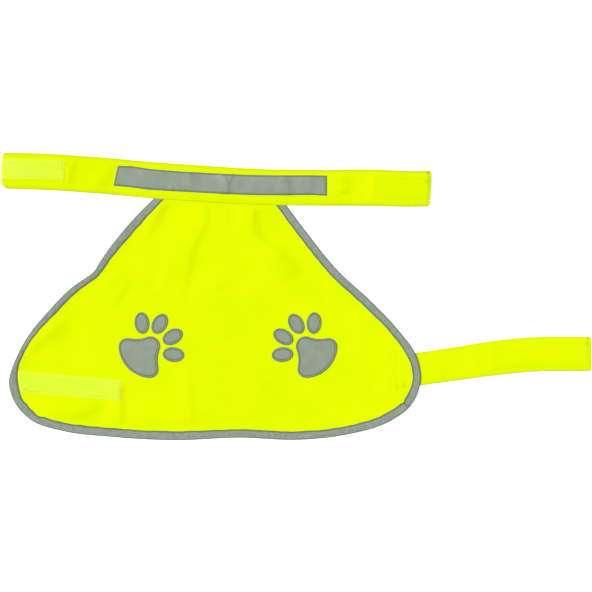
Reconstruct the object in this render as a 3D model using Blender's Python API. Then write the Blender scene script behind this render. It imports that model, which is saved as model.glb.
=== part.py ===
"""Reflective dog vest, opened out and laid flat with its outside up.

The tables and sizes are in millimetres, and MM turns them to metres. X runs along the neck strap, Y from
the hem to the neck and Z up. The origin is on the surface, under the middle of the laid-out vest. Left
and right are those of the laid-out vest as seen from above, with the neck at the top.
"""
import math
from collections import namedtuple

import bmesh
import bpy
import numpy as np
from mathutils import Vector
from mathutils.bvhtree import BVHTree

MM = 0.001
WALL = 1.0  # one layer of cloth
SEAM = 0.3  # gap between two layers, and between pieces that meet
LAYER = WALL + SEAM  # rise from one layer to the next

# Back panel: a bell of cloth from the neck down to two rounded lobes, bound all round but at the neck.
# "bound" is the width of binding that shows on top, which rolls under at the left lobe's shoulder.
EdgePoint = namedtuple("EdgePoint", "place x y bound")
EDGE = [
    EdgePoint("left neck", -134, 111, 7),
    EdgePoint("left shoulder", -167, 78, 9),
    EdgePoint("left side", -192, 47.5, 8),
    EdgePoint("left bend, upper", -204.5, 29, 7),
    EdgePoint("left bend", -209.5, 21.5, 6.5),
    EdgePoint("left bend, lower", -217.5, 17.5, 6.5),
    EdgePoint("left flank", -228.5, 9.5, 7),
    EdgePoint("left lobe, top", -252, -14, 7),
    EdgePoint("left lobe, shoulder", -275, -42.5, 5.5),
    EdgePoint("left lobe, cheek", -287, -66, 5.5),
    EdgePoint("left tip", -293, -86.5, 9),
    EdgePoint("left lobe, under", -287.5, -107.5, 9),
    EdgePoint("left lobe, heel", -270, -126.5, 8.5),
    EdgePoint("hem, left", -239, -137, 9),
    EdgePoint("hem, left quarter", -190, -143, 9),
    EdgePoint("hem, low left", -120.5, -146.5, 9),
    EdgePoint("hem, middle", -61, -144, 8.5),
    EdgePoint("hem, low right", 6, -146, 8.5),
    EdgePoint("hem, right", 53, -140.5, 8.5),
    EdgePoint("right lobe, heel", 94, -128, 9),
    EdgePoint("right lobe, under", 117, -111, 9),
    EdgePoint("right tip", 127, -82, 8),
    EdgePoint("right lobe, cheek", 122.5, -60.5, 8.5),
    EdgePoint("right lobe, shoulder", 104, -34, 8),
    EdgePoint("right flank", 76, -4.5, 8.5),
    EdgePoint("right bend", 42, 27, 8.5),
    EdgePoint("right side", 9.5, 67, 8.5),
    EdgePoint("right neck", -18, 104, 8.5),
]
IN_NECK = 15  # length of each side that is hidden in the neck strap
BINDING_START = 16  # the binding is cut off along the strap, just below that
ACROSS, DOWN = 38, 20  # cells of the panel along the hem and down each side
BINDING_UNDER = 7.0  # width of the binding below the panel
BINDING_SHELF = 10.4  # the panel lies level this far in, between the two halves of the binding
BINDING_RAMP = 12  # and comes down to the surface over this further width
NECK_SHELF, NECK_RAMP = 1.5, 13  # the same below the neck strap, measured along the sides

# The panel's largest folds: soft ridges on a curve from start to end that is drawn towards its bend.
Fold = namedtuple("Fold", "place start bend end half_width height")
FOLDS = [
    Fold("long fold from the neck to the hem", (-93, 82), (-126, 0), (-104, -118), 8, 1.6),
    Fold("right of the neck", (-39, 84), (-40, 58), (-19, 40), 7, 1.3),
    Fold("towards the right flank", (-7, 46), (-1, 30), (13, 18), 7, 1.1),
    Fold("below the left shoulder", (-136, 80), (-151, 68), (-153, 44), 7, 1.2),
    Fold("left lobe, along its shoulder", (-268, -58), (-250, -26), (-224, -16), 8, 1.2),
    Fold("left lobe, down to the hem", (-179, -112), (-178, -122), (-180, -132), 6, 0.8),
]
FOLD_FADE = 0.2  # share of a fold's length over which each end dies away
FLAT_BELOW = 0.01  # a lower lift than this is left out, so that the panel lies truly flat between its folds

# Neck strap and belly strap: bands folded along their upper edge, open along the lower one.
Stop = namedtuple("Stop", "place x y width")
NECK_ROUTE = [
    Stop("left end", -301, 128.5, 36.5),
    Stop("left straight", -262, 127.5, 37),
    Stop("left slope", -200, 123.5, 37),
    Stop("left shoulder", -150, 119, 37),
    Stop("over the panel", -100, 115.5, 37),
    Stop("nape", -40, 112, 36.5),
    Stop("right straight", 24, 111, 36.5),
    Stop("right slope", 80, 111, 37),
    Stop("before the right end", 110, 110, 36.5),
    Stop("right end", 138, 110, 36),
]
BELLY_ROUTE = [
    Stop("sewn end, under the right lobe", 101, -77.5, 33.5),
    Stop("at the binding", 125.5, -74, 33.5),
    Stop("first third", 167, -68, 34),
    Stop("middle", 204, -62.5, 35),
    Stop("last third", 240.5, -59, 35),
    Stop("free end", 301, -58.5, 35),
]
BAND_STEP = 10.5  # length of strap between two sections
FOLD_CUT = 0.3  # share of the fold's radius that its outer corners are cut back by
PANEL_IN_NECK = 13.5  # the panel's top edge lies this far inside the neck strap
SPREAD_MARGIN, SPREAD_RAMP = 4, 30  # the strap stays parted this far past the panel, then closes
BELLY_MARGIN = 8  # the panel lies level this far round the sewn end of the belly strap
BELLY_RAMP = 18  # and comes down over this further distance

# Tapes sewn along a strap: for each of their stops, how far its middle lies towards the strap's folded edge,
# and the width there. The reflective strip was sewn on by eye, so it wavers.
Tape = namedtuple("Tape", "name thick stops")
TapeStop = namedtuple("TapeStop", "x up width")
REFLECTIVE_STRIP = Tape("neck_reflective_strip", WALL, [
    TapeStop(-184.5, 1, 20.5), TapeStop(-168, 1.5, 21.5), TapeStop(-149, 0.5, 21), TapeStop(-118, 0.5, 20.5),
    TapeStop(-76, 1, 20.5), TapeStop(-43, 1.5, 20.5), TapeStop(14, 2.5, 20), TapeStop(31.5, 2, 20.5)])
NECK_LOOP = Tape("neck_loop_pad", 1.4, [TapeStop(-299.5, 2, 21), TapeStop(-236, 2.5, 21)])
NECK_HOOK = Tape("neck_hook_pad", 1.2, [TapeStop(76.5, 2, 20.5), TapeStop(136, 2, 20.5)])
BELLY_HOOK = Tape("belly_hook_pad", 1.2, [TapeStop(201.5, 1.5, 21), TapeStop(299, 1.5, 21)])
TAPE_GAP = 1  # two sections of a tape are at least this far apart
HOOK_RAMP, HOOK_MARGIN = 16, 3  # length of strap that climbs onto its hook pad, and ends this far before it

# Belly loop pad, across the left lobe from the binding.
LOOP_START, LOOP_END = (-279.5, -87), (-178.5, -96)
LOOP_WIDTH, LOOP_THICK = 21.5, 1.4
LOOP_STEPS = 12

# Paw badges: a heel pad and four toes, turned outwards on the left half and mirrored on the right. The pad
# is a rounded triangle of arcs, sized from its middle: a corner towards the toes, two to the sides, hollow
# waists between those and a round back. The toes are equal ovals in an even fan.
PAWS = {"left": dict(x=-160, y=-62, turn=45), "right": dict(x=21, y=-62, turn=135)}
Corner = namedtuple("Corner", "ahead aside radius")
FRONT_CORNER, SIDE_CORNER = Corner(16, 0, 10), Corner(-1, 16, 9)
WAIST_RADIUS, BACK_REACH = 30, 16
TOE_FAN = 27  # bearing from each toe to the next
Toe = namedtuple("Toe", "step reach lean")
TOES = [Toe(1.5, 35, 50), Toe(0.5, 40, 15), Toe(-0.5, 40, -15), Toe(-1.5, 35, -50)]
TOE_LONG, TOE_WIDE = 11, 7.5  # half axes
TOE_SIDES, HEEL_SIDES = 16, 36

CURVE_STEPS = 24  # points worked out between two rows of a route's table
NUDGE = 0.5  # distance to each side over which a route's direction is read
EVENING_PASSES = 80  # rounds that even out the panel's grid
ROLL = (0.5, 0.8)  # how far the binding's outer edge is cut back across and in height

YELLOW = dict(colour=(0.80, 0.98, 0.01), roughness=0.75)
LIGHT_YELLOW = dict(colour=(0.86, 1.0, 0.08), roughness=0.9)
GREY = dict(colour=(0.31, 0.36, 0.30), roughness=0.45)


def smoothstep(share):
    share = min(max(share, 0.0), 1.0)
    return share * share * (3 - 2 * share)


class Route:
    """A smooth curve through the rows of a table, read by the length along it."""

    def __init__(self, rows):
        knots = np.array([row[1:] for row in rows], dtype=float)
        place = np.concatenate(([0.0], np.cumsum(np.hypot(*np.diff(knots[:, :2], axis=0).T))))
        slope = np.gradient(knots, place, axis=0)
        pieces = []
        for i in range(len(knots) - 1):
            t = np.linspace(0, 1, CURVE_STEPS, endpoint=i == len(knots) - 2)[:, None]
            chord = place[i + 1] - place[i]
            pieces.append((2 * t**3 - 3 * t**2 + 1) * knots[i] + (3 * t**2 - 2 * t**3) * knots[i + 1]
                          + (t**3 - 2 * t**2 + t) * chord * slope[i] + (t**3 - t**2) * chord * slope[i + 1])
        self.points = np.concatenate(pieces)
        self.run = np.concatenate(([0.0], np.cumsum(np.hypot(*np.diff(self.points[:, :2], axis=0).T))))
        self.length = self.run[-1]

    def at(self, distance):
        return np.array([np.interp(distance, self.run, column) for column in self.points.T])

    def left_of(self, distance):
        """The unit vector that points to the left of the way along the curve."""
        back, ahead = max(distance - NUDGE, 0), min(distance + NUDGE, self.length)
        step = self.at(ahead)[:2] - self.at(back)[:2]
        return np.array((-step[1], step[0])) / np.hypot(*step)

    def beside(self, distance, offset):
        return self.at(distance)[:2] + self.left_of(distance) * offset

    def nearest(self, x, y):
        return self.run[np.argmin(np.hypot(self.points[:, 0] - x, self.points[:, 1] - y))]

    def where_x(self, x):
        return float(np.interp(x, self.points[:, 0], self.run))


edge = Route(EDGE)
neck = Route(NECK_ROUTE)
belly = Route(BELLY_ROUTE)
left_tip, right_tip = (edge.nearest(row.x, row.y) for row in EDGE if row.place in ("left tip", "right tip"))


def add_piece(name, points, faces, look):
    """A closed solid from points in millimetres, with its own material."""
    mesh = bpy.data.meshes.new(name)
    mesh.from_pydata([Vector(point) * MM for point in points], [], faces)
    work = bmesh.new()
    work.from_mesh(mesh)
    bmesh.ops.recalc_face_normals(work, faces=work.faces)
    work.to_mesh(mesh)
    work.free()
    material = bpy.data.materials.new(name)
    material.use_nodes = True
    shader = material.node_tree.nodes["Principled BSDF"]
    shader.inputs["Base Color"].default_value = (*look["colour"], 1)
    shader.inputs["Roughness"].default_value = look["roughness"]
    shader.inputs["Metallic"].default_value = 0.0
    mesh.materials.append(material)
    piece = bpy.data.objects.new(name, mesh)
    bpy.context.collection.objects.link(piece)
    return piece


def add_sheet(name, points, faces, thick, look):
    """A wall of cloth on its lower face: the same face again above it, and a rim round the border."""
    count = len(points)
    uses = {}
    for face in faces:
        for a, b in zip(face, face[1:] + face[:1]):
            uses.setdefault(frozenset((a, b)), []).append((a, b))
    rim = [sides[0] for sides in uses.values() if len(sides) == 1]
    solid = [face[::-1] for face in faces] + [tuple(i + count for i in face) for face in faces]
    solid += [(a, b, b + count, a + count) for a, b in rim]
    return add_piece(name, points + [(x, y, z + thick) for x, y, z in points], solid, look)


def add_loft(name, sections, look):
    """A solid through closed sections, each with the same number of points."""
    around = len(sections[0])
    faces = [tuple(range(around)), tuple(range((len(sections) - 1) * around, len(sections) * around))]
    for row in range(len(sections) - 1):
        low, high = row * around, (row + 1) * around
        for i in range(around):
            j = (i + 1) % around
            faces.append((low + i, low + j, high + j, high + i))
    return add_piece(name, [point for section in sections for point in section], faces, look)


def fold_height(x, y):
    """The height that the folds lift the panel off the surface at a point."""
    height = 0.0
    t = np.linspace(0, 1, 25)
    for fold in FOLDS:
        start, bend, end = np.array(fold.start), np.array(fold.bend), np.array(fold.end)
        curve = np.outer((1 - t)**2, start) + np.outer(2 * t * (1 - t), bend) + np.outer(t**2, end)
        away = np.hypot(curve[:, 0] - x, curve[:, 1] - y)
        nearest = int(np.argmin(away))
        fade = smoothstep(t[nearest] / FOLD_FADE) * smoothstep((1 - t[nearest]) / FOLD_FADE)
        height = max(height, fold.height * fade * math.exp(-(away[nearest] / fold.half_width)**2))
    return height if height > FLAT_BELOW else 0.0


def belly_lift(x, y):
    """The height that the sewn end of the belly strap lifts what lies over it."""
    sewn_end = BELLY_ROUTE[0]
    low_y = sewn_end.y - sewn_end.width / 2 - BELLY_MARGIN
    high_y = BELLY_ROUTE[1].y + sewn_end.width / 2 + BELLY_MARGIN
    beyond_x = max(sewn_end.x - BELLY_MARGIN - x, 0)
    beyond_y = max(low_y - y, y - high_y, 0)
    return 2 * LAYER * (1 - smoothstep(math.hypot(beyond_x, beyond_y) / BELLY_RAMP))


def stations(first, begun):
    """Distances along the bound edge, evenly from "begun" below each neck corner but for the ends."""
    left = np.linspace(begun, left_tip, DOWN + 1)
    hem = np.linspace(left_tip, right_tip, ACROSS + 1)
    right = np.linspace(right_tip, edge.length - begun, DOWN + 1)
    return [first, *left[1:-1], *hem[:-1], *right[:-1], edge.length - first]


def panel_ring(inset, stops):
    """A loop of points set in from the bound edge at the given distances, and closed along the neck."""
    bound = [edge.beside(distance, inset) for distance in stops]
    top = [bound[-1] + (bound[0] - bound[-1]) * i / ACROSS for i in range(1, ACROSS)]
    return bound + top


def panel_middle(loop):
    """The grid of points inside a loop, blended from its four sides and then evened out."""
    left = np.array(loop[:DOWN + 1])
    hem = np.array(loop[DOWN:DOWN + ACROSS + 1])
    right = np.array(loop[DOWN + ACROSS:2 * DOWN + ACROSS + 1])[::-1]
    top = np.array(loop[2 * DOWN + ACROSS:] + loop[:1])[::-1]
    grid = np.zeros((ACROSS + 1, DOWN + 1, 2))
    for i in range(ACROSS + 1):
        for j in range(DOWN + 1):
            u, v = i / ACROSS, j / DOWN
            corners = ((1 - u) * (1 - v) * top[0] + u * (1 - v) * top[-1]
                       + (1 - u) * v * hem[0] + u * v * hem[-1])
            grid[i, j] = (1 - v) * top[i] + v * hem[i] + (1 - u) * left[j] + u * right[j] - corners
    for _ in range(EVENING_PASSES):
        grid[1:-1, 1:-1] = (grid[:-2, 1:-1] + grid[2:, 1:-1] + grid[1:-1, :-2] + grid[1:-1, 2:]) / 4
    return grid


def build_panel():
    """The back panel, with its edge lifted onto the binding and the straps, and its folds."""
    stops = stations(0, BINDING_START)
    raw_edge = panel_ring(LAYER, stops)
    shelf = panel_ring(BINDING_SHELF, stations(IN_NECK + NECK_SHELF, BINDING_START))
    foot = panel_ring(BINDING_SHELF + BINDING_RAMP, stations(IN_NECK + NECK_RAMP, IN_NECK + NECK_RAMP))
    grid = panel_middle(foot)
    around = len(foot)
    lifts = [belly_lift(*edge.at(stop)[:2]) for stop in stops] + [0.0] * (ACROSS - 1)
    points = [(x, y, LAYER + lift) for ring in (raw_edge, shelf) for (x, y), lift in zip(ring, lifts)]
    points += [(x, y, fold_height(x, y) + belly_lift(x, y)) for x, y in grid.reshape(-1, 2)]

    def cell(i, j):
        return 2 * around + i * (DOWN + 1) + j
    border = ([cell(0, j) for j in range(DOWN)] + [cell(i, DOWN) for i in range(ACROSS)]
              + [cell(ACROSS, j) for j in range(DOWN, 0, -1)] + [cell(i, 0) for i in range(ACROSS, 0, -1)])
    faces = []
    for outer, inner in ((list(range(around)), list(range(around, 2 * around))),
                         (list(range(around, 2 * around)), border)):
        for i in range(around):
            j = (i + 1) % around
            faces.append((outer[i], outer[j], inner[j], inner[i]))
    for i in range(ACROSS):
        for j in range(DOWN):
            faces.append((cell(i, j), cell(i, j + 1), cell(i + 1, j + 1), cell(i + 1, j)))
    return add_sheet("back_panel", points, faces, WALL, YELLOW)


def build_binding():
    """The grey tape folded over the panel's edge, cut off along the neck strap's lower edge."""
    def clear_of_neck(point, way):
        """Slide an end point along the edge until it lies just below the neck strap."""
        for _ in range(4):
            strap = neck.nearest(*point)
            limit = neck.beside(strap, -neck.at(strap)[2] / 2 - SEAM)
            away = (limit - point) @ neck.left_of(strap)
            point = point + way * away / (way @ neck.left_of(strap))
        return point
    stops = stations(BINDING_START, BINDING_START)
    top = 2 * LAYER + WALL
    roll_in, roll_up = ROLL
    sections = []
    for distance in stops:
        bound = edge.at(distance)[2]
        profile = [(BINDING_UNDER, 0), (roll_in, 0), (0, roll_up), (0, top - roll_up), (roll_in, top),
                   (bound, top), (bound, top - WALL), (WALL, top - WALL), (WALL, WALL),
                   (BINDING_UNDER, WALL)]
        inward = edge.left_of(distance)
        way = np.array((inward[1], -inward[0]))
        lift = belly_lift(*edge.at(distance)[:2])
        section = []
        for inset, height in profile:
            point = edge.beside(distance, inset)
            if distance in (stops[0], stops[-1]):
                point = clear_of_neck(point, way)
            section.append((*point, height + lift))
        sections.append(section)
    return add_loft("edge_binding", sections, GREY)


class Band:
    """A strap of cloth folded along its upper edge, on a route, with what lifts it and opens it."""

    def __init__(self, route, hook, spread):
        self.route, self.hook, self.spread = route, hook, spread
        self.bend = WALL + SEAM / 2  # outer radius of the fold
        self.stops = np.linspace(0, route.length, round(route.length / BAND_STEP) + 1)

    def half(self, distance):
        return self.route.at(distance)[2] / 2

    def base(self, distance):
        """Height of the underside, which climbs onto the hook pad."""
        start = self.route.where_x(self.hook.stops[0].x)
        return (self.hook.thick + SEAM) * smoothstep((distance - start + HOOK_RAMP + HOOK_MARGIN) / HOOK_RAMP)

    def front(self, distance, across):
        """Height of the upper face, which rises over what the band encloses."""
        half = self.half(distance)
        share = (across + half - self.bend) / (2 * half - PANEL_IN_NECK - self.bend)
        return self.base(distance) + LAYER + WALL + self.spread(distance) * min(max(share, 0), 1)

    def build(self, name, look):
        bend, inner, cut = self.bend, self.bend - WALL, FOLD_CUT * self.bend
        sections = []
        for distance in self.stops:
            half = self.half(distance)
            rise = half - PANEL_IN_NECK
            low = self.base(distance)
            high, opened = self.front(distance, -half + bend), self.front(distance, half)
            profile = [(half, low), (-half + bend, low), (-half + cut, low + cut), (-half, low + bend),
                       (-half + cut, high - cut), (-half + bend, high),
                       (rise, opened), (half, opened), (half, opened - WALL),
                       (rise, opened - WALL), (-half + bend, high - WALL),
                       (-half + bend - inner, low + bend), (-half + bend, low + WALL), (half, low + WALL)]
            sections.append([(*self.route.beside(distance, -across), z) for across, z in profile])
        return add_loft(name, sections, look)

    def tape(self, tape, look, underneath=False):
        """A tape sewn flat on the band's upper face, or on its underside."""
        marks = [self.route.where_x(stop.x) for stop in tape.stops]
        apart = [stop for stop in self.stops if min(abs(stop - mark) for mark in marks) > TAPE_GAP]
        inside = [stop for stop in apart if marks[0] < stop < marks[-1]]
        points = []
        for distance in sorted(marks + inside):
            middle = -np.interp(distance, marks, [stop.up for stop in tape.stops])
            half = np.interp(distance, marks, [stop.width for stop in tape.stops]) / 2
            rise = self.half(distance) - PANEL_IN_NECK
            for across in (middle - half, rise, middle + half):
                z = 0.0 if underneath else self.front(distance, across) + SEAM
                points.append((*self.route.beside(distance, -across), z))
        return add_sheet(tape.name, points, strip_faces(len(points) // 3 - 1, 3), tape.thick, look)


def strip_faces(steps, wide):
    """Four-sided faces of a strip whose points come in rows of a given count."""
    faces = []
    for i in range(steps):
        for j in range(wide - 1):
            a = i * wide + j
            faces.append((a, a + 1, a + wide + 1, a + wide))
    return faces


def no_spread(distance):
    return 0.0


def neck_spread(distance):
    """How far the panel's edge parts the two layers of the neck strap."""
    x = neck.at(distance)[0]
    low, high = edge.at(IN_NECK)[0] - SPREAD_MARGIN, edge.at(edge.length - IN_NECK)[0] + SPREAD_MARGIN
    return LAYER * (1 - smoothstep(max(low - x, x - high, 0) / SPREAD_RAMP))


def drape_on(target):
    """A function that gives the height of a finished piece's upper face, in millimetres."""
    work = bmesh.new()
    work.from_mesh(target.data)
    tree = BVHTree.FromBMesh(work)
    work.free()

    def height(x, y):
        hit = tree.ray_cast(Vector((x * MM, y * MM, 1)), Vector((0, 0, -1)))[0]
        return hit.z / MM
    return height


def build_belly_loop(height):
    """The loop pad on the left lobe, which lies on the panel's upper face."""
    start, end = np.array(LOOP_START), np.array(LOOP_END)
    way = (end - start) / np.hypot(*(end - start))
    side = np.array((-way[1], way[0])) * LOOP_WIDTH / 2
    points = []
    for i in range(LOOP_STEPS + 1):
        middle = start + (end - start) * i / LOOP_STEPS
        for across in (-1, 0, 1):
            x, y = middle + side * across
            points.append((x, y, height(x, y) + SEAM))
    return add_sheet("belly_loop_pad", points, strip_faces(LOOP_STEPS, 3), LOOP_THICK, LIGHT_YELLOW)


def across_circle(angle, middle, radius, side):
    """How far from the pad's middle a ray meets a circle: its far side is 1 and its near side -1."""
    ahead = middle[0] * math.cos(angle) + middle[1] * math.sin(angle)
    aside = middle[1] * math.cos(angle) - middle[0] * math.sin(angle)
    return ahead + side * math.sqrt(radius * radius - aside * aside)


def heel_arcs():
    """The arcs round one half of the pad, from the toes to the back: where each ends, and its circle."""
    front, flank = FRONT_CORNER, SIDE_CORNER
    span = math.dist(front[:2], flank[:2])
    reach_front, reach_side = WAIST_RADIUS + front.radius, WAIST_RADIUS + flank.radius
    along = (reach_front**2 - reach_side**2 + span**2) / (2 * span)
    out = math.sqrt(reach_front**2 - along**2)
    way = ((flank.ahead - front.ahead) / span, (flank.aside - front.aside) / span)
    waist = (front.ahead + along * way[0] + out * way[1], front.aside + along * way[1] - out * way[0])
    # The back's circle reaches BACK_REACH behind the middle and touches the side corner from outside it.
    short = BACK_REACH - flank.radius
    back = (short**2 - flank.ahead**2 - flank.aside**2) / (-2 * (flank.ahead + short))

    def bearing(start, end, length):
        share = length / math.dist(start, end)
        return math.atan2(start[1] + (end[1] - start[1]) * share, start[0] + (end[0] - start[0]) * share)

    corner = (flank.ahead, flank.aside)
    return [(bearing(front[:2], waist, front.radius), front[:2], front.radius, 1),
            (bearing(corner, waist, flank.radius), waist, WAIST_RADIUS, -1),
            (bearing((back, 0), corner, back + BACK_REACH), corner, flank.radius, 1),
            (math.tau, (back, 0), back + BACK_REACH, 1)]


def heel_radius(angle, arcs):
    """The heel pad's outline, the same on both sides of the line to the toes."""
    angle = abs(math.remainder(angle, math.tau))
    _, middle, radius, side = next(arc for arc in arcs if angle <= arc[0])
    return across_circle(angle, middle, radius, side)


def add_badge(name, outline, middle, height):
    """A flat shape sewn on the panel: its outline, a smaller copy of it and its middle."""
    count = len(outline)
    flat = list(outline) + [((x + middle[0]) / 2, (y + middle[1]) / 2) for x, y in outline] + [middle]
    faces = []
    for i in range(count):
        j = (i + 1) % count
        faces += [(i, j, count + j, count + i), (count + i, count + j, 2 * count)]
    return add_sheet(name, [(x, y, height(x, y) + SEAM) for x, y in flat], faces, WALL, GREY)


def build_paw(side, x, y, turn, height):
    axis = math.radians(turn)
    hand = 1 if side == "left" else -1
    outline = []
    arcs = heel_arcs()
    for i in range(HEEL_SIDES):
        angle = 2 * math.pi * i / HEEL_SIDES
        radius = heel_radius(angle, arcs)
        outline.append((x + radius * math.cos(axis + angle), y + radius * math.sin(axis + angle)))
    add_badge(f"paw_{side}_heel", outline, (x, y), height)
    for number, toe in enumerate(TOES, start=1):
        bearing = axis + hand * math.radians(toe.step * TOE_FAN)
        middle = (x + toe.reach * math.cos(bearing), y + toe.reach * math.sin(bearing))
        lean = axis + hand * math.radians(toe.lean)
        outline = []
        for i in range(TOE_SIDES):
            angle = 2 * math.pi * i / TOE_SIDES
            along, across = TOE_LONG * math.cos(angle), TOE_WIDE * math.sin(angle)
            outline.append((middle[0] + along * math.cos(lean) - across * math.sin(lean),
                            middle[1] + along * math.sin(lean) + across * math.cos(lean)))
        add_badge(f"paw_{side}_toe_{number}", outline, middle, height)


def main():
    for item in list(bpy.data.objects):
        bpy.data.objects.remove(item)
    height = drape_on(build_panel())
    build_binding()
    neck_band = Band(neck, NECK_HOOK, neck_spread)
    neck_band.build("neck_strap", YELLOW)
    neck_band.tape(REFLECTIVE_STRIP, GREY)
    neck_band.tape(NECK_LOOP, LIGHT_YELLOW)
    neck_band.tape(NECK_HOOK, LIGHT_YELLOW, underneath=True)
    belly_band = Band(belly, BELLY_HOOK, no_spread)
    belly_band.build("belly_strap", YELLOW)
    belly_band.tape(BELLY_HOOK, LIGHT_YELLOW, underneath=True)
    build_belly_loop(height)
    for side, paw in PAWS.items():
        build_paw(side, paw["x"], paw["y"], paw["turn"], height)


main()
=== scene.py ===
import math

import bmesh
import bpy
import numpy as np
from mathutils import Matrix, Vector
from mathutils.bvhtree import BVHTree


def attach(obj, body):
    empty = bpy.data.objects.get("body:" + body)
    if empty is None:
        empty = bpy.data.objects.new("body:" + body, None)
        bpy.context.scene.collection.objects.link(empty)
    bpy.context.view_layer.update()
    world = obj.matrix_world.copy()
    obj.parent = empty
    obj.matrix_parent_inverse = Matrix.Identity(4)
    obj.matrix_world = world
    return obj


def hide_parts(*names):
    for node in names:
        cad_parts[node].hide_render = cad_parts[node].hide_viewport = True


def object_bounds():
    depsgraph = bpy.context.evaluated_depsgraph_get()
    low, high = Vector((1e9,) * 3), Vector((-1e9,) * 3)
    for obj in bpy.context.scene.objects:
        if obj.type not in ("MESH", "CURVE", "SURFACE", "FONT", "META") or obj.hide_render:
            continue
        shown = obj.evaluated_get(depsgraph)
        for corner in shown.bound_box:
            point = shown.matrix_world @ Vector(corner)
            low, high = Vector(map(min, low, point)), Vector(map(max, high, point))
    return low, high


# A reflective dog vest, opened out and laid flat with its outside up. Tables and sizes are in millimetres.
# X runs along the neck strap, Y from the hem to the neck and Z up. Left and right are as seen from above.

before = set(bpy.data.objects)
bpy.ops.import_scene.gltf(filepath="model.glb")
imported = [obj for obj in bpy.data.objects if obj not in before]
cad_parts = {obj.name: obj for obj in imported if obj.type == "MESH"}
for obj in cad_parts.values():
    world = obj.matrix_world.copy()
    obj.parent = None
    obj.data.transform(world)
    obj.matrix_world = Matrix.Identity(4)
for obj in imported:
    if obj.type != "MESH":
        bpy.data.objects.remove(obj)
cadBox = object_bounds()
mm = 0.001
pieces = {}


def smoothstep(share):
    share = np.clip(share, 0, 1)
    return share * share * (3 - 2 * share)


def bell(distance, reach):
    # 1 at no distance, and soon nothing past the reach
    return np.exp(-(distance / reach) ** 2)


def runOf(line):
    # distance along a line to each of its points
    return np.concatenate(([0.0], np.cumsum(np.hypot(*np.diff(line[:, :2], axis=0).T))))


def smoothLine(points, step=1.0, closed=False):
    # a smooth curve through a few points, cut into even steps
    points = np.array(points, dtype=float)
    overlap, cuts = 3, 16
    if closed:
        points = np.concatenate((points[-overlap:], points, points[:overlap + 1]))
    run = runOf(points)
    slope = np.gradient(points, run, axis=0)
    share = np.linspace(0, 1, cuts, endpoint=False)[:, None]
    dense = []
    for i in range(len(points) - 1):
        gap = run[i + 1] - run[i]
        dense.append(blendCurve(share, points[i], points[i + 1], slope[i] * gap, slope[i + 1] * gap))
    if closed:
        dense = np.concatenate(dense[overlap:-overlap])
        dense = np.concatenate((dense, dense[:1]))
    else:
        dense = np.concatenate((*dense, points[-1:]))
    length = runOf(dense)[-1]
    line = along(dense, np.linspace(0, length, max(round(length / step), 2) + 1))
    return line[:-1] if closed else line


def blendCurve(t, start, end, slopeStart, slopeEnd):
    return ((2 * t**3 - 3 * t**2 + 1) * start + (3 * t**2 - 2 * t**3) * end
            + (t**3 - 2 * t**2 + t) * slopeStart + (t**3 - t**2) * slopeEnd)


def along(line, distances):
    run = runOf(line)
    return np.stack([np.interp(distances, run, column) for column in line.T], axis=1)


def leftOf(line):
    # unit vectors to the left of the way along a line
    way = np.gradient(line[:, :2], axis=0)
    return np.stack((-way[:, 1], way[:, 0]), axis=1) / np.hypot(*way.T)[:, None]


def nearestOn(line, places):
    # for each place: the nearest point of a line, how far away it is, and how far to the line's left
    nearest = np.empty(len(places), dtype=int)
    block = 4000  # places at a time, to save memory
    for first in range(0, len(places), block):
        part = places[first:first + block]
        away = ((part[:, None, :2] - line[None, :, :2]) ** 2).sum(axis=2)
        nearest[first:first + block] = away.argmin(axis=1)
    gap = places[:, :2] - line[nearest, :2]
    return nearest, np.hypot(*gap.T), (gap * leftOf(line)[nearest]).sum(axis=1)


def fillBetween(low, high, left, right, passes):
    # a grid inside four sides, evened out: low and high run to the right, left and right run upwards
    u = np.linspace(0, 1, len(low))[:, None, None]
    v = np.linspace(0, 1, len(left))[None, :, None]
    grid = (1 - v) * low[:, None] + v * high[:, None] + (1 - u) * left[None] + u * right[None]
    corners = (1 - u) * (1 - v) * low[0] + u * (1 - v) * low[-1] + (1 - u) * v * high[0] + u * v * high[-1]
    grid = grid - corners
    for _ in range(passes):
        grid[1:-1, 1:-1] = (grid[:-2, 1:-1] + grid[2:, 1:-1] + grid[1:-1, :-2] + grid[1:-1, 2:]) / 4
    return grid


def finer(grid, times):
    # the same grid with that many times the points along its first direction
    slope = np.gradient(grid, axis=0)
    share = np.linspace(0, 1, times, endpoint=False)[None, :, None, None]
    fine = blendCurve(share, grid[:-1, None], grid[1:, None], slope[:-1, None], slope[1:, None])
    return np.concatenate((fine.reshape(-1, *grid.shape[1:]), grid[-1:]))


def unevenWave(length, spacing, seed):
    # one number for each millimetre, between -1 and 1, that wanders at about that spacing
    count = int(length / spacing) + 3
    draws = np.random.default_rng(seed).uniform(-1, 1, count)
    places = np.arange(count) * spacing
    return smoothLine(np.stack((places, draws), axis=1), 0.5)[:, 1][: int(2 * length) + 2: 2]


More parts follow.
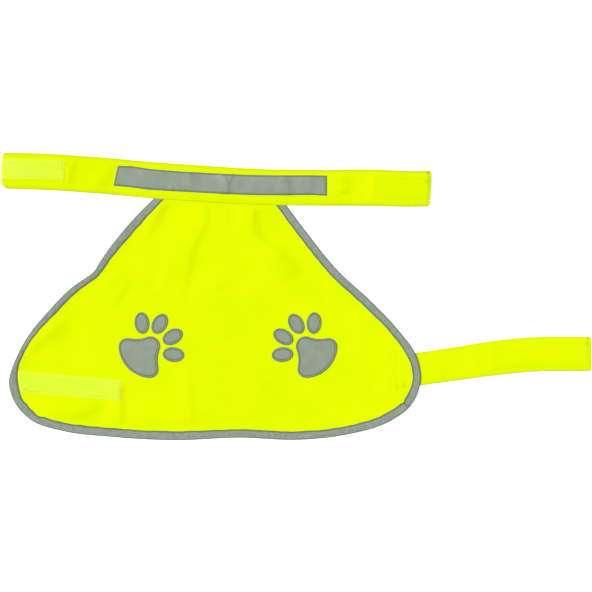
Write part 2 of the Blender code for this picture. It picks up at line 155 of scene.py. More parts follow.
def nodeOutline(node):
    # the border of the topmost layer of a node, counterclockwise from above, in mm
    work = bmesh.new()
    work.from_mesh(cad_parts[node].data)
    bmesh.ops.remove_doubles(work, verts=work.verts, dist=1e-6)
    work.normal_update()
    facing = {face for face in work.faces if face.normal.z > 0.05}
    layers = []
    while facing:
        layer, waiting = set(), [facing.pop()]
        while waiting:
            face = waiting.pop()
            layer.add(face)
            for other in {other for edge in face.edges for other in edge.link_faces} & facing:
                facing.remove(other)
                waiting.append(other)
        layers.append(layer)
    top = max(layers, key=lambda layer: np.mean([vert.co.z for face in layer for vert in face.verts]))
    beside = {}
    for edge in {edge for face in top for edge in face.edges}:
        if len(top.intersection(edge.link_faces)) == 1:
            for one, other in (edge.verts, reversed(edge.verts)):
                beside.setdefault(one, []).append(other)
    start = min(beside, key=lambda vert: (vert.co.x, vert.co.y))
    loop, before, here = [start], start, min(beside[start], key=lambda vert: vert.co.y)
    while here != start:
        loop.append(here)
        before, here = here, next(vert for vert in beside[here] if vert != before)
    loop = np.array([vert.co / mm for vert in loop])
    work.free()
    turned = np.roll(loop, -1, axis=0)
    area = (loop[:, 0] * turned[:, 1] - loop[:, 1] * turned[:, 0]).sum()
    return loop if area > 0 else loop[::-1]


def sidesOf(loop, corners):
    # a loop cut at its sharpest corners
    ahead = np.roll(loop, -1, axis=0) - loop
    heading = np.arctan2(ahead[:, 1], ahead[:, 0])
    turn = np.abs((heading - np.roll(heading, 1) + math.pi) % (2 * math.pi) - math.pi)
    cuts = sorted(np.argsort(turn)[-corners:])
    return [np.roll(loop, -a, axis=0)[:(b - a) % len(loop) + 1] for a, b in zip(cuts, cuts[1:] + cuts[:1])]


def longSides(loop, corners, count):
    # a loop's longest sides, the longest last, each from left to right
    sides = sorted(sidesOf(loop, corners), key=lambda side: runOf(side)[-1])[-count:]
    return [side if side[0][0] < side[-1][0] else side[::-1] for side in sides]


def bandSides(node):
    # the upper and lower sides of a band as smooth lines
    upper, lower = sorted(longSides(nodeOutline(node), 4, 2), key=lambda side: -side[:, 1].mean())
    return smoothLine(upper), smoothLine(lower)


def heightOf(piece, below=False):
    # a function that gives the height of a piece's upper or lower face at places in mm
    mesh = piece.data
    corners = [vert.co for vert in mesh.vertices]
    tree = BVHTree.FromPolygons(corners, [face.vertices for face in mesh.polygons])
    start, way = (-0.1, Vector((0, 0, 1))) if below else (0.1, Vector((0, 0, -1)))

    def height(places):
        hits = [tree.ray_cast(Vector((x * mm, y * mm, start)), way)[0] for x, y in places[:, :2]]
        return np.array([np.nan if hit is None else hit.z / mm for hit in hits])
    return height


def facesOf(name):
    # height functions of a piece's upper and lower faces
    return heightOf(pieces[name]), heightOf(pieces[name], below=True)


def addPiece(name, points, faces, flat, tone=None):
    # a mesh from points in mm, with its flat pattern in metres as the UV map, and as "tone" its painted shade
    # at seams, edges, folds and knots, with some wear and fading
    mesh = bpy.data.meshes.new(name)
    mesh.from_pydata((np.array(points) * mm).tolist(), [], faces)
    corners = np.empty(len(mesh.loops), dtype=np.int32)
    mesh.loops.foreach_get("vertex_index", corners)
    mesh.uv_layers.new(name="flat").data.foreach_set("uv", (np.array(flat)[corners] * mm).ravel())
    tones = np.zeros(len(points)) if tone is None else np.array(tone)
    mesh.attributes.new("tone", "FLOAT", "POINT").data.foreach_set("value", tones.astype(np.float32))
    piece = bpy.data.objects.new(name, mesh)
    bpy.context.collection.objects.link(piece)
    pieces[name] = piece
    return piece


def gridFaces(rows, columns, closed=False):
    faces = []
    for i in range(rows if closed else rows - 1):
        for j in range(columns - 1):
            a, b = i * columns + j, (i + 1) % rows * columns + j
            faces.append((a, b, b + 1, a + 1))
    return faces


def addSheet(name, grid, flat, thick, tone=None):
    # a sheet of cloth from a grid of points on its outer face, which gets its wall inwards
    rows, columns = grid.shape[:2]
    tone = None if tone is None else tone.ravel()
    piece = addPiece(name, grid.reshape(-1, 3), gridFaces(rows, columns), flat.reshape(-1, 2), tone)
    return addWall(piece, thick)


def selectOnly(piece):
    bpy.ops.object.select_all(action="DESELECT")
    piece.select_set(True)
    bpy.context.view_layer.objects.active = piece


def addWall(piece, thick):
    selectOnly(piece)
    wall = piece.modifiers.new("wall", "SOLIDIFY")
    wall.thickness = thick * mm
    wall.offset = -1
    bpy.ops.object.modifier_apply(modifier=wall.name)
    bpy.ops.object.shade_smooth_by_angle(angle=math.radians(50))
    return piece


def shapeOf(model):
    # a model's points in mm and its faces, in an order that is the same each run; the model itself goes
    points = np.array([vert.co / mm for vert in model.data.vertices])
    faces = []
    for corners in (tuple(face.vertices) for face in model.data.polygons):
        first = corners.index(min(corners))
        faces.append(corners[first:] + corners[:first])
    bpy.data.objects.remove(model)
    return points, sorted(faces)


def addCopies(name, shape, middles, axes, tone=None):
    # one piece from copies of a shape, each with its middle and its three axes
    shapePoints, shapeFaces = shape
    points = [middle + shapePoints @ np.array(turn) for middle, turn in zip(middles, axes)]
    faces = []
    for copy in range(len(points)):
        faces += [tuple(copy * len(shapePoints) + corner for corner in face) for face in shapeFaces]
    points = np.concatenate(points)
    piece = addPiece(name, points, faces, points[:, :2], tone)
    selectOnly(piece)
    bpy.ops.object.shade_smooth()
    return piece


def flatGrid(grid):
    # the place of each grid point on the flat cloth, in mm: along the first direction, then across
    lengths = np.linalg.norm(np.diff(grid, axis=0), axis=2).mean(axis=1)
    widths = np.linalg.norm(np.diff(grid, axis=1), axis=2).mean(axis=0)
    u = np.concatenate(([0], np.cumsum(lengths)))
    v = np.concatenate(([0], np.cumsum(widths)))
    return np.stack(np.meshgrid(u, v, indexing="ij"), axis=2)


def creaseLift(places, creases):
    # how high a table of creases lifts each place: wide is a crease's reach to the left and right of its way,
    # and fade the share of its length over which each end dies away
    lift = np.zeros(len(places))
    for crease in creases:
        line = smoothLine(crease["line"], 1.5)
        nearest, away, left = nearestOn(line, places)
        share = nearest / (len(line) - 1)
        wide = np.where(left > 0, crease["wide"][0], crease["wide"][1])
        start, end = crease.get("fade", (0.3, 0.3))
        fade = smoothstep(share / start) * smoothstep((1 - share) / end)
        beyond = np.maximum(away - np.abs(left), 0) > 3
        across = np.exp(-(np.abs(left) / wide) ** crease.get("edge", 2))  # edge: 2 is round, less is sharper
        lift += crease["high"] * fade * across * ~beyond
    return lift


# The frame's layers are 1.3 mm apart and real cloth lies closer, so its heights are taken down by settle.
# The gaps are above the floor, between pieces that rest on each other, in a closed fold and round the panel.
layers = dict(settle=0.54, pitch=1.3, floorGap=0.05, restGap=0.04, foldGap=0.03, panelGap=0.06)
# The panel rises onto the binding's lower half at its edge and into the neck strap, and is calmer near both.
# It puckers along the binding, most from puckerFrom to puckerTo in from its edge.
panelTable = dict(top=0.55, thick=0.4, across=40, up=22, finer=6, passes=80, rise=0.36, riseFrom=2,
                  riseOver=10, neckRise=0.72, neckFrom=-1, neckOver=13, bellyLift=0.86, pucker=0.12,
                  puckerStep=6.5, puckerFrom=5, puckerTo=6, puckerOver=8, seed=4, neckCalm=0.8,
                  neckCalmOver=12, edgeCalm=14)
# Creases of the panel, as ridges whose lines run down: wide is the reach to the east and to the west
panelCreases = [
    dict(place="below the left shoulder", line=[(-137, 99), (-145, 82), (-153, 66), (-157, 46)],
         wide=(7.5, 9), high=1.5, fade=(0.05, 0.85)),
    dict(place="long fold, upper part", line=[(-96, 98), (-96, 74), (-103, 60), (-109, 46), (-112, 29),
         (-116, 16), (-119, -4), (-121, -22)], wide=(6, 16), high=0.85, fade=(0.1, 0.5)),
    dict(place="long fold, lower part", line=[(-114, -66), (-113, -78), (-111, -92), (-109, -108),
         (-107, -133)], wide=(4.5, 13), high=0.5, fade=(0.4, 0.15), edge=1.6),
    dict(place="from right of the neck to the right flank", line=[(-45, 94), (-46, 76), (-43, 64), (-36, 54),
         (-27, 46), (-16, 39), (-5, 30), (4, 19)], wide=(7, 15), high=1.5, fade=(0.06, 0.35)),
    dict(place="the same, where it slants", line=[(-38, 56), (-27, 46), (-16, 39), (-5, 30), (5, 18)],
         wide=(6, 11), high=0.6, fade=(0.4, 0.3)),
    dict(place="left lobe, along its shoulder", line=[(-286, -66), (-275, -51), (-266, -43), (-253, -35),
         (-242, -28), (-228, -18)], wide=(10, 9), high=1.7, fade=(0.35, 0.4)),
    dict(place="left lobe, down to the hem", line=[(-179, -84), (-179.5, -96), (-180, -110), (-180, -134)],
         wide=(4, 15), high=1.0, fade=(0.25, 0.2), edge=1.6),
    dict(place="left lobe, above the hem", line=[(-268, -108), (-242, -117), (-221, -116), (-205, -109),
         (-192, -99)], wide=(14, 8), high=1.4, fade=(0.3, 0.3)),
    dict(place="above the hem", line=[(-176, -120), (-130, -122), (-85, -121), (-36, -122)],
         wide=(16, 8), high=0.7, fade=(0.3, 0.3)),
    dict(place="inside the right bend", line=[(26, 20), (35, 8), (50, -1), (66, -14)],
         wide=(9, 8), high=0.9, fade=(0.4, 0.4)),
    dict(place="middle of the neck", line=[(-74, 95), (-73, 80), (-72, 62)], wide=(7, 12), high=0.6,
         fade=(0.2, 0.7)),
    dict(place="left flank", line=[(-196, 24), (-186, 12), (-172, 0)], wide=(9, 12), high=0.7),
    dict(place="below the long fold's bend", line=[(-126, 52), (-133, 24), (-140, 0)], wide=(14, 6),
         high=0.55),
    dict(place="middle, faint", line=[(-82, 34), (-82, 20), (-84, 4)], wide=(10, 6), high=0.35),
    dict(place="belly strap's sewing, left", line=[(102.6, -56), (102.7, -94)], wide=(1.4, 1.4),
         high=-0.22, fade=(0.05, 0.05)),
    dict(place="belly strap's sewing, right", line=[(115.7, -65), (115.9, -91)], wide=(1.4, 1.4), high=-0.22,
         fade=(0.05, 0.05)),
]
# Painted shade round the knots where threads are tied off: reach is the spot's half width, dark how strong it
# is
knotShadeMarks = [
    dict(place="belly strap's sewing, left", x=103, y=-92.6, reach=1.5, dark=0.4),
    dict(place="belly strap's sewing, right", x=110, y=-91, reach=1.6, dark=0.55),
    dict(place="beside the neck loop pad", x=-233, y=135, reach=1.8, dark=0.16),
    dict(place="neck strap, right end", x=133.4, y=117.4, reach=1.4, dark=0.5),
    dict(place="neck strap, top right corner", x=132.6, y=126.6, reach=1.8, dark=0.25),
    dict(place="belly strap, free end", x=295.5, y=-48.4, reach=1.5, dark=0.4),
]


def cutPanel(values):
    # the outline's two neck corners and two lobe tips part it into four sides
    bound = smoothLine(longSides(nodeOutline("back_panel"), 2, 1)[0])
    leftTip, rightTip = bound[:, 0].argmin(), bound[:, 0].argmax()
    sides = (bound[:leftTip + 1][::-1], bound[leftTip:rightTip + 1], bound[rightTip:])
    left, hem, right = (side[:, :2] for side in sides)
    across, up = np.linspace(0, 1, values["across"] + 1), np.linspace(0, 1, values["up"] + 1)
    left, right = (along(side, up * runOf(side)[-1]) for side in (left, right))
    hem = along(hem, across * runOf(hem)[-1])
    neck = left[-1] + (right[-1] - left[-1]) * across[:, None]
    grid = finer(fillBetween(hem, neck, left, right, values["passes"]), values["finer"])
    return bound, finer(grid.swapaxes(0, 1), values["finer"]).swapaxes(0, 1)


def knotShadeAt(places):
    # how much painted shade the spots give each place
    away = [np.hypot(places[..., 0] - mark["x"], places[..., 1] - mark["y"]) for mark in knotShadeMarks]
    return sum(mark["dark"] * bell(far, mark["reach"]) for far, mark in zip(away, knotShadeMarks))


def liftOver(places, sides, margin, over):
    # 1 over a flat piece between its two sides and within the margin round it, down to 0 further out
    upper, lower = sides
    beyondX = np.maximum(np.maximum(upper[0, 0] - places[:, 0], places[:, 0] - upper[-1, 0]) - margin, 0)
    top = np.interp(places[:, 0], upper[:, 0], upper[:, 1])
    bottom = np.interp(places[:, 0], lower[:, 0], lower[:, 1])
    beyondY = np.maximum(np.maximum(places[:, 1] - top, bottom - places[:, 1]) - margin, 0)
    return 1 - smoothstep(np.hypot(beyondX, beyondY) / over)


def bellyLift(places):
    # how high the sewn end of the belly strap lifts what lies over it
    return panelTable["bellyLift"] * liftOver(places, bellySides, margin=2, over=24)


def panelHeight(places):
    # height of the panel's upper face: its creases, the rise onto the binding and into the neck strap
    values = panelTable
    nearest, away, left = nearestOn(panelBound, places)
    edge = values["rise"] * (1 - smoothstep((away - values["riseFrom"]) / values["riseOver"]))
    _, _, above = nearestOn(neckSides[1], places)
    neck = values["neckRise"] * (1 - smoothstep((-above - values["neckFrom"]) / values["neckOver"]))
    wave = values["pucker"] * puckers[np.minimum(nearest, len(puckers) - 1)]
    wave = wave * smoothstep(away / values["puckerFrom"])
    wave = wave * (1 - smoothstep((away - values["puckerTo"]) / values["puckerOver"]))
    calm = 1 - values["neckCalm"] * smoothstep((above + 10) / values["neckCalmOver"])
    lift = creaseLift(places, panelCreases) * smoothstep((away + 2) / values["edgeCalm"]) * calm
    return values["top"] + np.maximum(edge, neck) + lift + wave + bellyLift(places)


panelBound, panelGrid = cutPanel(panelTable)
neckSides, bellySides = bandSides("neck_strap"), bandSides("belly_strap")
puckers = unevenWave(runOf(panelBound)[-1], panelTable["puckerStep"], panelTable["seed"])
print("frame read")

heights = panelHeight(panelGrid.reshape(-1, 2)).reshape(panelGrid.shape[:2])
panelPoints = np.concatenate((panelGrid, heights[:, :, None]), axis=2)
# the panel's tone is the painted shade round the knots
addSheet("backPanelCloth", panelPoints, panelGrid, panelTable["thick"], knotShadeAt(panelGrid))
print("back panel made", len(pieces["backPanelCloth"].data.polygons))

# A tape folded over the edge: under is its reach below, roll the fold's depth, top its crest's height. Its
# inner edge wanders by pucker, and by gathered more where the tape is gathered round the left lobe.
bindingTable = dict(thick=0.32, under=6.0, roll=0.8, top=1.45, seamIn=1.5, seamDeep=0.12, step=1.5,
                    pucker=0.25, puckerStep=5.5, seed=11, gathered=0.5, gatherAt=(-258, -122), gatherReach=34,
                    columnsUnder=6, columnsRoll=11, columnsOver=17)
# places where the tape is caught up: how much narrower it is there, and how far along that reaches
bindingTucks = [
    dict(place="under the right lobe", x=113, y=-112, narrow=1.5, reach=2.6),
]


def buildBinding(values):
    # a tape folded over the panel's edge: lower half, roll, then upper half with its inner edge sewn down
    inner, outer = longSides(nodeOutline("edge_binding"), 4, 2)
    # each point of the outer edge is paired with the inner edge's nearest, and the cut ends with each other
    fine = smoothLine(inner[:, :2], 0.1)
    nearest, _, _ = nearestOn(fine, outer[1:-1])
    inner = np.concatenate((fine[:1], fine[nearest], fine[-1:]))
    both = smoothLine(np.concatenate((outer[:, :2], inner), axis=1), values["step"])
    outer, inner = both[:, :2], both[:, 2:]
    length = runOf(outer)[-1]
    rows = len(both)
    wide = np.hypot(*(inner - outer).T)
    inward = (inner - outer) / wide[:, None]
    gather = bell(np.hypot(*(outer - values["gatherAt"]).T), values["gatherReach"])
    wander = unevenWave(length, values["puckerStep"], values["seed"])
    wander = np.interp(np.linspace(0, len(wander) - 1, rows), np.arange(len(wander)), wander)
    wide = wide + wander * (values["pucker"] + values["gathered"] * gather)
    caught = np.zeros(rows)
    for tuck in bindingTucks:
        spot = np.hypot(outer[:, 0] - tuck["x"], outer[:, 1] - tuck["y"]).argmin()
        beside = (runOf(outer) - runOf(outer)[spot]) / tuck["reach"]
        wide = wide - tuck["narrow"] * bell(beside, 1)
        # caught is painted shade in the tuck
        caught = caught + tuck["narrow"] * bell(beside, 1 / 3)
    lift = bellyLift(outer)
    low, crest, roll = layers["floorGap"] + lift, values["top"] + lift, values["roll"]
    columns = []  # each has its way in from the outer edge, its height and its tone
    for inset in np.linspace(values["under"], roll, values["columnsUnder"])[:-1]:
        columns.append((np.full(rows, inset), low, np.zeros(rows)))
    # the roll's tone is painted shade
    for angle in np.radians(np.linspace(-90, 90, values["columnsRoll"])):
        z = (low + crest) / 2 + (crest - low) / 2 * math.sin(angle)
        columns.append((np.full(rows, roll * (1 - math.cos(angle))), z, np.full(rows, 0.55)))
    for share in np.linspace(0, 1, values["columnsOver"])[1:]:
        inset = roll + (wide - roll) * share
        places = outer + inward * inset[:, None]
        under = panelHeight(places) + layers["restGap"] + values["thick"]
        edgeAway = wide - inset
        seam = values["seamDeep"] * bell(edgeAway - values["seamIn"], 0.5)
        drop = smoothstep((share - 0.25) / 0.75)
        z = np.maximum(crest + (under - crest) * drop - seam, under)
        # the tone paints shade along the inner edge and in the tucks
        columns.append((inset, z, bell(edgeAway, 1.2) + caught * 0.5))
    insets, z, tone = (np.stack(part, axis=1) for part in zip(*columns))
    flat = outer[:, None] + inward[:, None] * insets[:, :, None]
    grid = np.concatenate((flat, z[:, :, None]), axis=2)
    addSheet("edgeBindingTape", grid, flatGrid(grid), values["thick"], tone)
    seam = outer + inward * (wide - values["seamIn"])[:, None]
    return dict(seam=smoothLine(seam, 0.5), inner=outer + inward * wide[:, None])


binding = buildBinding(bindingTable)
print("binding made")

# Both straps: curl and fold are the depths of the open edge and the folded one, opening the width beside the
# open edge where the front is at its full height, endReach how far an end's bow and lean reach, and closing
# how far from the end the layers come together. The front rises by pillow towards its middle, and the whole
# strap by padLift over its hook pad.
# Tones paint shade: seamTone in the sewing grooves, edgeTone along the edges, curlTone in the open edge's
# curl, foldTone on the fold, insideTone inside the slit and endTone along the right end's row of sewing.
strapTable = dict(cloth=0.36, curl=0.5, fold=0.6, seamDeep=0.06, seamWide=0.6, closing=0.9, padLift=0.42,
                  opening=13.5, step=2, endReach=14, seamTone=0.06, edgeWide=1.4, curlTone=0.32, foldTone=0.3,
                  insideTone=0.5, endMargin=5)
# Corners are top left, bottom left, top right and bottom right; bow and lean are the left and right end's.
neckTable = dict(strapTable, seamIn=2.8, pillow=0.18, corners=(1.8, 5.6, 1.2, 2.6), bow=(1.7, 0.2),
                 lean=(0, -2.4), edgeTone=0.42, endTone=0.62, wear=0.045)
bellyTable = dict(strapTable, seamIn=3.2, pillow=0.16, corners=(4, 4, 2.6, 2.8), bow=(0, 0.4), lean=(0, 0),
                  edgeTone=0.3, endTone=0.45, wear=0)
neckCreases = [
    dict(place="left end, beside the loop pad", line=[(-226, 143), (-230, 132), (-236, 112)], wide=(5, 9),
         high=0.9),
    dict(place="left of the panel", line=[(-196, 142), (-192, 130), (-210, 110)], wide=(6, 9), high=0.6),
    dict(place="right of the strip", line=[(45, 127), (46, 116), (51, 103)], wide=(7, 10), high=0.9),
    dict(place="before the hook pad", line=[(78, 126), (78.5, 114), (78, 102)], wide=(6, 2.4), high=0.34),
    dict(place="strip, first", line=[(-108, 131), (-108.5, 120), (-107, 108)], wide=(4, 5), high=0.35),
    dict(place="strip, second", line=[(-76, 127), (-73, 117), (-74, 103)], wide=(4, 5), high=0.5),
    dict(place="strip, its branch", line=[(-66, 127), (-70, 120), (-74, 113)], wide=(3, 4), high=0.35),
    dict(place="strip, third", line=[(-17, 125), (-13, 114), (-11, 103)], wide=(5, 6), high=0.4),
    dict(place="strip, soft", line=[(8, 125), (12, 112), (10, 104)], wide=(6, 8), high=0.35),
]
bellyCreases = [
    dict(place="by the binding", line=[(136, -54), (139, -68), (134, -88)], wide=(10, 12), high=0.2),
    dict(place="middle", line=[(182, -46), (186, -62), (180, -80)], wide=(10, 14), high=0.5),
]
# distances from an edge at which a strap has points, closer where it is sewn
seamNear = [0.9, 1.3, 1.7, 2.1, 2.5, 2.9, 3.3, 3.8, 4.5, 5.4, 6.6]
# distances from an end at which a strap has points
endNear = [0, 0.08, 0.25, 0.5, 0.9, 1.4, 2.0, 2.6, 3.2, 4.0]


def rounding(reach, radius):
    # how far a rounded corner cuts into a band's side, that far from the band's end
    return radius - np.sqrt(radius ** 2 - (radius - np.minimum(reach, radius)) ** 2)


def evened(heights):
    return np.convolve(np.pad(heights, 4, mode="edge"), np.ones(9) / 9, mode="valid")


def buildBand(name, node, sides, values, creases, pad, pressed=None):
    # a strap folded along its upper edge: front from the lower edge up, the fold, then the back down again;
    # pad is the hook pad under it, and pressed says up to where it is pressed flat
    length = runOf(sides[0])[-1]
    margin = values["endMargin"]
    middle = np.linspace(margin, length - margin, round(length / values["step"]))
    fromStart = np.array([*endNear, *middle, *(length - end for end in reversed(endNear))])
    fromEnd = length - fromStart
    upper, lower = (along(side, fromStart / length * runOf(side)[-1]) for side in sides)
    centre, half = (upper + lower)[:, :2] / 2, np.hypot(*(upper - lower)[:, :2].T) / 2
    down = (lower - upper)[:, :2] / (2 * half)[:, None]
    inside = np.clip(fromStart, 2, length - 2)
    spots = np.stack([np.interp(inside, fromStart, column) for column in centre.T], axis=1)
    # its levels come from the frame: along the fold, near the open edge and underneath
    settle, cadTop = layers["settle"], heightOf(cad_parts[node])
    high = settle * evened(cadTop(spots - down * (half - 5)[:, None]))
    opened = settle * evened(cadTop(spots + down * (half - 3)[:, None]))
    base = layers["floorGap"] + settle * evened(heightOf(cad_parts[node], below=True)(spots))
    pillow = np.full(len(fromStart), values["pillow"])
    if pressed:
        press = 1 - smoothstep((centre[:, 0] - pressed["until"]) / pressed["over"])
        high, opened = high - pressed["by"] * press, opened - pressed["by"] * press
        pillow = pillow * (1 - press)
    mid = (base + high) / 2
    parted = np.clip((opened - high) / (settle * layers["pitch"]), 0, 1)
    # the slit at the open edge is closed or holds the panel
    panelUpper = panelTable["top"] + panelTable["neckRise"] + layers["panelGap"]
    panelLower = panelUpper - panelTable["thick"] - 2 * layers["panelGap"]
    foldGap = layers["foldGap"]
    slitTop = mid + foldGap + parted * (panelUpper - mid - foldGap)
    slitLow = mid - foldGap + parted * (panelLower - mid + foldGap)

    def seamAt(a):
        return bell(half - np.abs(a) - values["seamIn"], values["seamWide"])

    def frontHeight(a):
        rise = smoothstep((a + half) / (2 * half - values["opening"]))
        return high + (opened - high) * rise + pillow * (1 - (a / half) ** 4) - values["seamDeep"] * seamAt(a)

    def backHeight(a):
        return base + 0.6 * values["seamDeep"] * seamAt(a)
    curl, fold = values["curl"], values["fold"]
    near = [half - distance for distance in seamNear]
    plain = half - seamNear[-1]
    front = [half - curl, *near, *(plain * (1 - 2 * i / 17) for i in range(1, 17))]
    front += [*(-a for a in reversed(near)), fold - half]
    back = [fold - half, *(-a for a in near), *(plain * (2 * i / 9 - 1) for i in range(1, 9))]
    back += [*reversed(near), half - curl]
    columns = []  # each has its way across from the middle, its height, its share of the creases and its tone
    edge = frontHeight(half - curl)
    # the curl gets painted shade where the slit is closed
    curlTone = values["curlTone"] * (1 - parted)
    for angle in np.radians([0, 25, 50, 72]):
        z = slitTop + (edge - slitTop) * math.sin(angle)
        columns.append((half - curl * (1 - math.cos(angle)), z, 0.4 * math.sin(angle), curlTone))
    for a in front:
        away = half - np.abs(a)
        # painted shade along the edges and in the sewing grooves
        tone = values["edgeTone"] * bell(away, values["edgeWide"]) * np.where(a > 0, 1 - parted, 1)
        tone = tone + values["seamTone"] * seamAt(a)
        columns.append((a, frontHeight(a), 0.4 + 0.6 * smoothstep(away / 4), tone))
    foldTop, foldLow = frontHeight(fold - half), backHeight(fold - half)
    for angle in np.radians(np.linspace(0, 180, 9)[1:-1]):
        a = fold * (1 - math.sin(angle)) - half
        z = (foldTop + foldLow) / 2 + (foldTop - foldLow) / 2 * math.cos(angle)
        # the fold gets painted shade
        columns.append((a, z, 0.2 * (1 + math.cos(angle)), values["foldTone"]))
    for a in back:
        columns.append((a, backHeight(a), 0.0, 0.0))
    edge = backHeight(half - curl)
    for angle in np.radians([72, 50, 25, 0]):
        z = slitLow + (edge - slitLow) * math.sin(angle)
        # painted shade inside the slit
        columns.append((half - curl * (1 - math.cos(angle)), z, 0.0, values["insideTone"]))
    across, z, creased, tone = (np.stack([np.broadcast_to(value, len(fromStart)) for value in part], axis=1)
                                for part in zip(*columns))
    topLeft, bottomLeft, topRight, bottomRight = values["corners"]
    cutUpper = rounding(fromStart, topLeft) + rounding(fromEnd, topRight)
    cutLower = rounding(fromStart, bottomLeft) + rounding(fromEnd, bottomRight)
    cut = np.where(across < 0, cutUpper[:, None], cutLower[:, None])
    across = across * (half[:, None] - cut) / half[:, None]
    places = centre[:, None] + down[:, None] * across[:, :, None]
    lifts = creaseLift(places.reshape(-1, 2), creases).reshape(across.shape)
    padded = liftOver(places.reshape(-1, 2), bandSides(pad), margin=0.5, over=3.5).reshape(across.shape)
    z = z + lifts * creased + values["padLift"] * padded
    ended = np.minimum(np.minimum(fromStart, fromEnd) / values["closing"], 1)
    squeeze = np.sqrt(np.maximum(1 - (1 - ended) ** 2, 0.004))
    z = mid[:, None] + (z - mid[:, None]) * squeeze[:, None]
    # each end bows out in its middle, and leans more towards the lower edge
    way = np.gradient(centre, axis=0)
    way = way / np.hypot(*way.T)[:, None]
    leftShare, rightShare = (1 - smoothstep(reach / values["endReach"]) for reach in (fromStart, fromEnd))
    bow = values["bow"][0] * leftShare - values["bow"][1] * rightShare
    lean = values["lean"][0] * leftShare + values["lean"][1] * rightShare
    lowerShare = np.clip(across / half[:, None], -1, 1) / 2 + 0.5
    shift = bow[:, None] * (across / half[:, None]) ** 2 + lean[:, None] * lowerShare ** 2
    places = places + way[:, None] * shift[:, :, None]
    grid = np.concatenate((places, z[:, :, None]), axis=2)
    # painted shade along the right end's row of sewing and round the knots, and an even wear
    endRow = bell(fromEnd - values["seamIn"], 0.7)[:, None] * (1.15 - lowerShare)
    tone = tone + (values["endTone"] * endRow + values["wear"] + knotShadeAt(places)) * (creased > 0)
    addSheet(name, grid, flatGrid(grid), values["cloth"], tone)
    sewn = (fromStart > values["seamIn"]) & (fromEnd > values["seamIn"])
    seams = [centre + down * (side * (half - values["seamIn"]))[:, None] for side in (-1, 1)]
    return dict(seams=[smoothLine(seam[sewn], 0.5) for seam in seams], centre=centre, down=down, half=half)


neckBand = buildBand("neckStrapCloth", "neck_strap", neckSides, neckTable, neckCreases, "neck_hook_pad")
bellyBand = buildBand("bellyStrapCloth", "belly_strap", bellySides, bellyTable, bellyCreases,
                      "belly_hook_pad", pressed=dict(until=124, over=24, by=0.42))
print("straps made")

stripCreases = [
    dict(place="broad, left", line=[(-154, 131), (-150, 120), (-143, 108)], wide=(8, 14), high=0.4),
    dict(place="bright fold at the top", line=[(-143, 127), (-138, 126), (-133, 125.4)], wide=(1.6, 1.6),
         high=0.36),
    dict(place="tuck at the bottom", line=[(-131, 113.5), (-127.5, 111.5), (-124.5, 108.5)], wide=(1.4, 2.4),
         high=0.6, fade=(0.5, 0.1)),
    dict(place="first", line=[(-106.5, 130), (-106, 118), (-105.5, 105)], wide=(1.8, 5), high=0.16),
    dict(place="second", line=[(-77, 127), (-72, 119), (-70, 112), (-71, 103)], wide=(2.0, 7), high=0.85,
         edge=1.5, fade=(0.1, 0.1)),
    dict(place="its branch", line=[(-64, 126), (-67, 119), (-70, 113)], wide=(1.8, 3.6), high=0.6, edge=1.5,
         fade=(0.1, 0.3)),
    dict(place="beside the branch", line=[(-61, 122), (-60, 112), (-61, 106)], wide=(1.8, 4), high=0.12),
    dict(place="soft, middle", line=[(-38, 112), (-30, 109), (-22, 112)], wide=(5, 3), high=0.22),
    dict(place="third", line=[(-14, 124), (-9, 117), (-8, 108), (-7, 102)], wide=(2.4, 7), high=0.62,
         edge=1.5, fade=(0.2, 0.1)),
    dict(place="soft, right", line=[(2, 120), (6, 113), (12, 109), (20, 108)], wide=(5, 5), high=0.25),
]
# Tapes sewn on: step is the size of a cell, seamIn the way from the edge to the sewing, and thinOver the
# width over which the edge thins out. Tones are of the seam, the edge, the left and the right end: over 0 is
# darker and under 0 paler; at the seam, at the edge and beside each tack the darkening is painted shade.
# Slant is how far the left end leans right at its top. Tacks are short rows of sewing across the upper half,
# that far from the right end. A tape that starts at the binding's inner edge is cut toBinding.
sewnTape = dict(step=1.0, slant=0, tacks=(), creases=(), below=False, toBinding=False)
loopPad = dict(sewnTape, thick=0.5, seamIn=1.9, seamDeep=0.08, thinOver=1.6)
hookPad = dict(sewnTape, thick=0.3, seamIn=1.5, seamDeep=0.05, thinOver=0.3, tones=(0.3, 0.2, 0, 0))
hookPad.update(step=1.2, below=True)
tapeTable = {
    "neckReflectiveTape": dict(sewnTape, node="neck_reflective_strip", on="neckStrapCloth", thick=0.4,
                               seamIn=1.4, seamDeep=0.06, thinOver=0.3, tones=(0.2, 0.7, 0, 0), slant=2.6,
                               creases=stripCreases),
    "neckLoopPad": dict(loopPad, node="neck_loop_pad", on="neckStrapCloth", tones=(0, 0.3, -0.3, 0.02),
                        tacks=(3.2, 7)),
    "bellyLoopPad": dict(loopPad, node="belly_loop_pad", on="backPanelCloth", tones=(0, 0.25, 0, -0.08),
                         toBinding=True),
    "neckHookPad": dict(hookPad, node="neck_hook_pad", on="neckStrapCloth"),
    "bellyHookPad": dict(hookPad, node="belly_hook_pad", on="bellyStrapCloth"),
}


def cutToBinding(flat):
    # the pad's left end, drawn out or cut back to the binding's inner edge, whose left is the panel's side
    long = flat[-1].mean(axis=0) - flat[0].mean(axis=0)
    long = long / np.hypot(*long)
    border = smoothLine(binding["inner"], 0.25)
    for j in range(flat.shape[1]):
        trial = flat[0, j] + long * np.arange(-9, 9, 0.1)[:, None]
        _, _, left = nearestOn(border, trial)
        start = trial[np.argmax(left > 0.25)]
        share = runOf(flat[:, j]) / runOf(flat[:, j])[-1]
        flat[:, j] = start + (flat[-1, j] - start) * share[:, None]
    return flat


